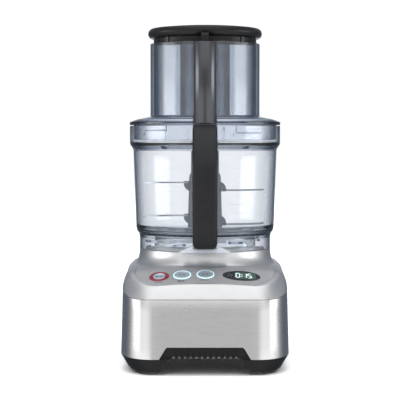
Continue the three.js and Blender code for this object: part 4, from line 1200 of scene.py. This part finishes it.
def lid():
    """Clear lid with its feed chute, a skirt inside the bowl's collar, and lugs for the bowl's stops."""
    section = [
        (CHUTE_BORE, LID_TOP, 0.9), (CHUTE_RADIUS, LID_TOP, 0.9), (CHUTE_RADIUS, 322.6, 1.2),
        *dome_section(0),
        (94.8, 310.5, 0.6), (94.8, 291.2, 0.5), (92.3, 291.2, 0.5), (92.3, 312.2, 1.5), (88, 314.6, 2),
        (78, 317, 2), (CHUTE_BORE + 1.5, 317.6, 0.8), (CHUTE_BORE + 0.8, 316.4, 0.4),
        (CHUTE_BORE, 316.4, 0.4),
    ]
    body = lathe("clear_lid", section, 192)
    extras = []
    for turn in (29, 119, 209, 299):
        extras.append(arc_block("lug", 93.6, 96, turn - 7, turn + 7, 296, 300))
    for start, end, low in ((-142.5, -120.3, 302.3), (-66, -42, 299)):
        extras.append(bevelled(arc_block("pad", 93.6, 96.2, start, end, low, 309.8, 14), 0.4))
    for side in (-1, 1):
        near, far = sorted((side * 15.7, side * 17.1))
        extras.append(block("rail", (near, AXIS_Y - 75.5, 322.5), (far, AXIS_Y - 69.6, 409)))
    fuse(body, *extras)
    finish(body, "lid", "clear_plastic", "lid", material="lid_plastic", sharp=30)


def column_outline(half=15, front=108.0):
    """The column's plan: round in front, hollowed to fit the chute behind, as (x, y)."""
    hug = CHUTE_RADIUS + GAP
    start = math.asin(half / hug)
    points = []
    arc_steps = 36
    shoulder = AXIS_Y - front + half
    for k in range(arc_steps + 1):
        angle = math.pi + math.pi * k / arc_steps
        points.append((half * math.cos(angle), shoulder + half * math.sin(angle)))
    back_steps = 12
    for k in range(back_steps + 1):
        angle = start - 2 * start * k / back_steps
        points.append((hug * math.sin(angle), AXIS_Y - hug * math.cos(angle)))
    return points


def chute_column():
    """Dark column in front of the chute that hides the interlock's upper rod."""
    low, high = node_box("chute_column")
    column = prism("interlock_column", column_outline(), low.z - 1, high.z, from_above)
    bevelled(column, 0.9, 3, 50)
    lid_space = lathe("lid_space", [(0, 200), (0, 322.9), *dome_section(0.5), (RIM_RADIUS + 0.5, 200)], 192)
    pocket = block("pocket", (-6, AXIS_Y - 106, high.z - 16), (6, AXIS_Y - 97.4, high.z + 5))
    bore = cylinder("bore", 2.5, 200, 430, 32, 0, AXIS_Y - ROD_DEPTH)
    cut(column, lid_space, pocket, bore)
    finish(column, "lid", "column_grey", "chute_column", sharp=30)


def lid_seal():
    seal = lathe("lid_seal_ring", [(91.2, 288, 0.4), (94.4, 288, 0.4), (94.9, 289.4, 0.6), (94.4, 290.8, 0.4),
                                   (91.2, 290.8, 0.4), (91.8, 289.4, 0.4)], 192)
    finish(seal, "seal", "seal_silicone", "lid_seal")


def pushers():
    """Smoky hollow pushers, one inside the other."""
    r = PUSHER_RADIUS
    tube_top = CAP_SKIRT["bottom"] - GAP
    large = lathe("large_food_pusher", [
        (r, 318.5, 1.2), (r, tube_top, 0.4), (r - 2.6, tube_top, 0.4), (r - 2.6, 321.5, 1.5),
        (33, 321.5, 1.5), (33, FEED_TOP, 0.6), (30.5, FEED_TOP, 0.6), (30.5, 318.5, 0.8),
    ], 192)
    finish(large, "large_pusher", "pusher_smoke", "large_pusher")
    low, high = node_box("small_pusher")
    s = high.x
    small = lathe("small_food_pusher", [
        (0, low.z), (s, low.z, 1.5), (s, high.z, 0.5), (s - 2.2, high.z, 0.5), (s - 2.2, low.z + 3, 1.5),
        (0, low.z + 3),
    ], 128)
    finish(small, "small_pusher", "pusher_smoke", "small_pusher")


def pusher_caps():
    """Black caps: a fat rounded rim, a ribbed skirt, and the arm whose prong presses the interlock."""
    r, top = PUSHER_RADIUS, CAP_TOP
    low, high = CAP_SKIRT["bottom"], CAP_SKIRT["top"]
    rim = []
    rim_steps, rim_width = 18, 6
    for k in range(rim_steps + 1):
        angle = math.radians(-90 + 180 * k / rim_steps)
        out = CAP_RADIUS - rim_width + rim_width * math.cos(angle)
        rim.append((out, CAP_RIM["middle"] + CAP_RIM["half_height"] * math.sin(angle)))
    under = FEED_TOP + 2
    section = [(r - 0.2, low, 0.5), (r - 0.2, high, 0.8), *rim, (56, top - 0.6, 8), (36.6, top, 0.8),
               (36, top - 0.8, 0.5), (36, under, 0.4), (r - 3, under, 0.5), (r - 3, low, 0.5)]
    cap = lathe("large_pusher_lid", section, 192)
    extras = [spun(block("rib", (66.5, AXIS_Y - 2.4, low + 0.5), (69.2, AXIS_Y + 2.4, high + 2)), turn)
              for turn in (45, 135, 225, 315)]
    prong_low, arm_low, arm_high = node_box("chute_column")[1].z - 14, LID_TOP + 1, high + 1
    arm = prism("arm", rounded([
        (66.5, arm_low), (98.8, arm_low, 1), (98.8, prong_low, 1), (105, prong_low, 1.2), (105, arm_high, 3),
        (66.5, arm_high),
    ]), -4.8, 4.8, from_side)
    extras.append(bevelled(arm, 0.6, 2, 60))
    fuse(cap, *extras)
    finish(cap, "large_pusher", "cap_black", "large_pusher_cap", sharp=32)
    low, high = node_box("small_pusher_cap")
    plug = lathe("small_pusher_lid", [
        (0, low.z), (26.8, low.z, 0.5), (26.8, FEED_TOP + 1), (35.5, FEED_TOP + 1, 0.5),
        (35.5, high.z - 2.6, 1.2), (33.6, high.z - 1, 1.5), (18, high.z - 0.1, 8), (14, high.z - 1.2, 3),
        (0, high.z - 1.6),
    ], 128)
    finish(plug, "small_pusher", "cap_black", "small_pusher_cap")


# ---------------------------------------------------------------- hidden machinery, floor, light, camera
def dress_hidden_nodes():
    """The inner pieces keep their CAD shapes and get the finish that their slot names."""
    slots = {part["node"]: part["material_slot"] for part in frame["record"]["subparts"]}
    for name, node in frame["nodes"].items():
        if node.hide_render:
            continue
        node.data.materials.clear()
        node.data.materials.append(MATERIALS[slots[name]])


def floor():
    reach = 6000
    corners = [(-reach, -reach, 0), (reach, -reach, 0), (reach, reach, 0), (-reach, reach, 0)]
    plane = new_object("floor", corners, [(0, 1, 2, 3)])
    shader = Shader("floor_white", (0.92, 0.92, 0.925), 0.65, specular_ior_level=0.1)
    shader.vary_color(shader.noise(1.5, detail=1), 0.01)
    plane.visible_glossy = False
    plane.visible_transmission = False
    plane.data.materials.append(shader.material)


# Light of the studio at each angle, from in front of the object (0) round to behind it (180).
FLAG = (0.145, 0.168, 0.205)
HIGH_FLAG = (0.25, 0.28, 0.33)
GROUND = [
    (0, 0.60), (8, 0.9), (20, 1.5), (40, 1.65), (62, 1.6), (80, 1.2), (98, 0.8), (116, 0.3), (130, FLAG),
    (163, FLAG), (174, 1.0), (180, 1.0),
]
HORIZON = [
    (0, 0.30), (20, 0.36), (40, 0.7), (62, 0.9), (69, 5.2), (93, 5.2), (102, 1.0), (118, FLAG), (163, FLAG),
    (174, 1.0), (180, 1.0),
]
UPPER = [(0, 1.4), (35, 1.4), (60, 0.6), (90, 0.55), (120, HIGH_FLAG), (180, HIGH_FLAG)]
ZENITH = 1.6
BACKDROP = 1.02


def as_color(value):
    """An RGBA colour from a grey level or an RGB colour."""
    return (*value, 1) if isinstance(value, tuple) else (value, value, value, 1)


def studio():
    """A white studio: bright sides and ceiling, a dim front, dark flags beside the white backdrop."""
    world = bpy.data.worlds.new("studio")
    bpy.context.scene.world = world
    world.use_nodes = True
    tree = world.node_tree
    tree.nodes.clear()

    def math_node(operation, *values):
        node = add_node(tree, "Math")
        node.operation = operation
        for socket, value in zip(node.inputs, values):
            connect(tree, value, socket)
        return node.outputs["Value"]

    def by_angle(share, table):
        ramp = add_node(tree, "ValToRGB", Fac=share)
        stops = ramp.color_ramp.elements
        while len(stops) < len(table):
            stops.new(0.5)
        for stop, (angle, value) in zip(stops, table):
            stop.position = angle / 180
            stop.color = as_color(value)
        return ramp.outputs["Color"]

    def between(value, low, high):
        """0 below one elevation and 1 above another, in degrees."""
        ranged = add_node(tree, "MapRange", Value=value, From_Min=math.sin(math.radians(low)),
                          From_Max=math.sin(math.radians(high)))
        ranged.interpolation_type = "SMOOTHSTEP"
        return ranged.outputs["Result"]

    place = add_node(tree, "TexCoord")
    split = add_node(tree, "SeparateXYZ", Vector=place.outputs["Generated"])
    x, y, z = (split.outputs[k] for k in "XYZ")
    azimuth = math_node("ARCTAN2", math_node("ABSOLUTE", x), math_node("MULTIPLY", y, -1))
    share = math_node("DIVIDE", azimuth, math.pi)
    level = blend(tree, between(z, -3, 2), by_angle(share, GROUND), by_angle(share, HORIZON))
    walls = blend(tree, between(z, 5, 14), level, by_angle(share, UPPER))
    room = blend(tree, between(z, 48, 66), walls, as_color(ZENITH))
    path = add_node(tree, "LightPath")
    seen = blend(tree, path.outputs["Is Camera Ray"], room, as_color(BACKDROP))
    background = add_node(tree, "Background", Color=seen)
    add_node(tree, "OutputWorld", Surface=background.outputs["Background"])


def lights():
    """A broad soft sun lights surfaces evenly and leaves no mark of its own in glossy or clear ones."""
    spread, tilt = 70, 22
    data = bpy.data.lights.new("key_soft", "SUN")
    data.energy = 3.0
    data.angle = math.radians(spread)
    key = bpy.data.objects.new("key_soft", data)
    bpy.context.scene.collection.objects.link(key)
    key.rotation_euler = (math.radians(tilt), 0, 0)
    key.visible_glossy = False
    key.visible_transmission = False


CAMERA = {"distance": 1810, "height": 293.6, "pitch": 2.61, "yaw": 0.21, "focal": 122.4}


def camera():
    data = bpy.data.cameras.new("camera")
    data.lens = CAMERA["focal"]
    data.sensor_width = 36
    data.clip_end = 100
    eye = bpy.data.objects.new("camera", data)
    bpy.context.scene.collection.objects.link(eye)
    eye.location = (0, (AXIS_Y - CAMERA["distance"]) * MM, CAMERA["height"] * MM)
    eye.rotation_euler = (math.radians(90 - CAMERA["pitch"]), 0, math.radians(CAMERA["yaw"]))
    bpy.context.scene.camera = eye


def view_settings():
    """Enough bounces to see through all the clear walls."""
    bounces = 24
    scene = bpy.context.scene
    scene.view_settings.view_transform = "Standard"
    scene.cycles.max_bounces = bounces
    scene.cycles.transmission_bounces = bounces
    scene.cycles.transparent_max_bounces = bounces


# ---------------------------------------------------------------- the scene
make_metals()
make_plastics()
base_skirt()
front_grille()
chassis()
feet_and_screws()
cord_gland()
base_cover()
control_panel()
buttons()
panel_marks()
display()
drive_end()
bowl()
bowl_scales()
handle_grip()
handle_frame()
handle_foot()
rods()
blades()
blade_hub()
lid()
chute_column()
lid_seal()
pushers()
pusher_caps()
dress_hidden_nodes()
floor()
studio()
lights()
camera()
view_settings()
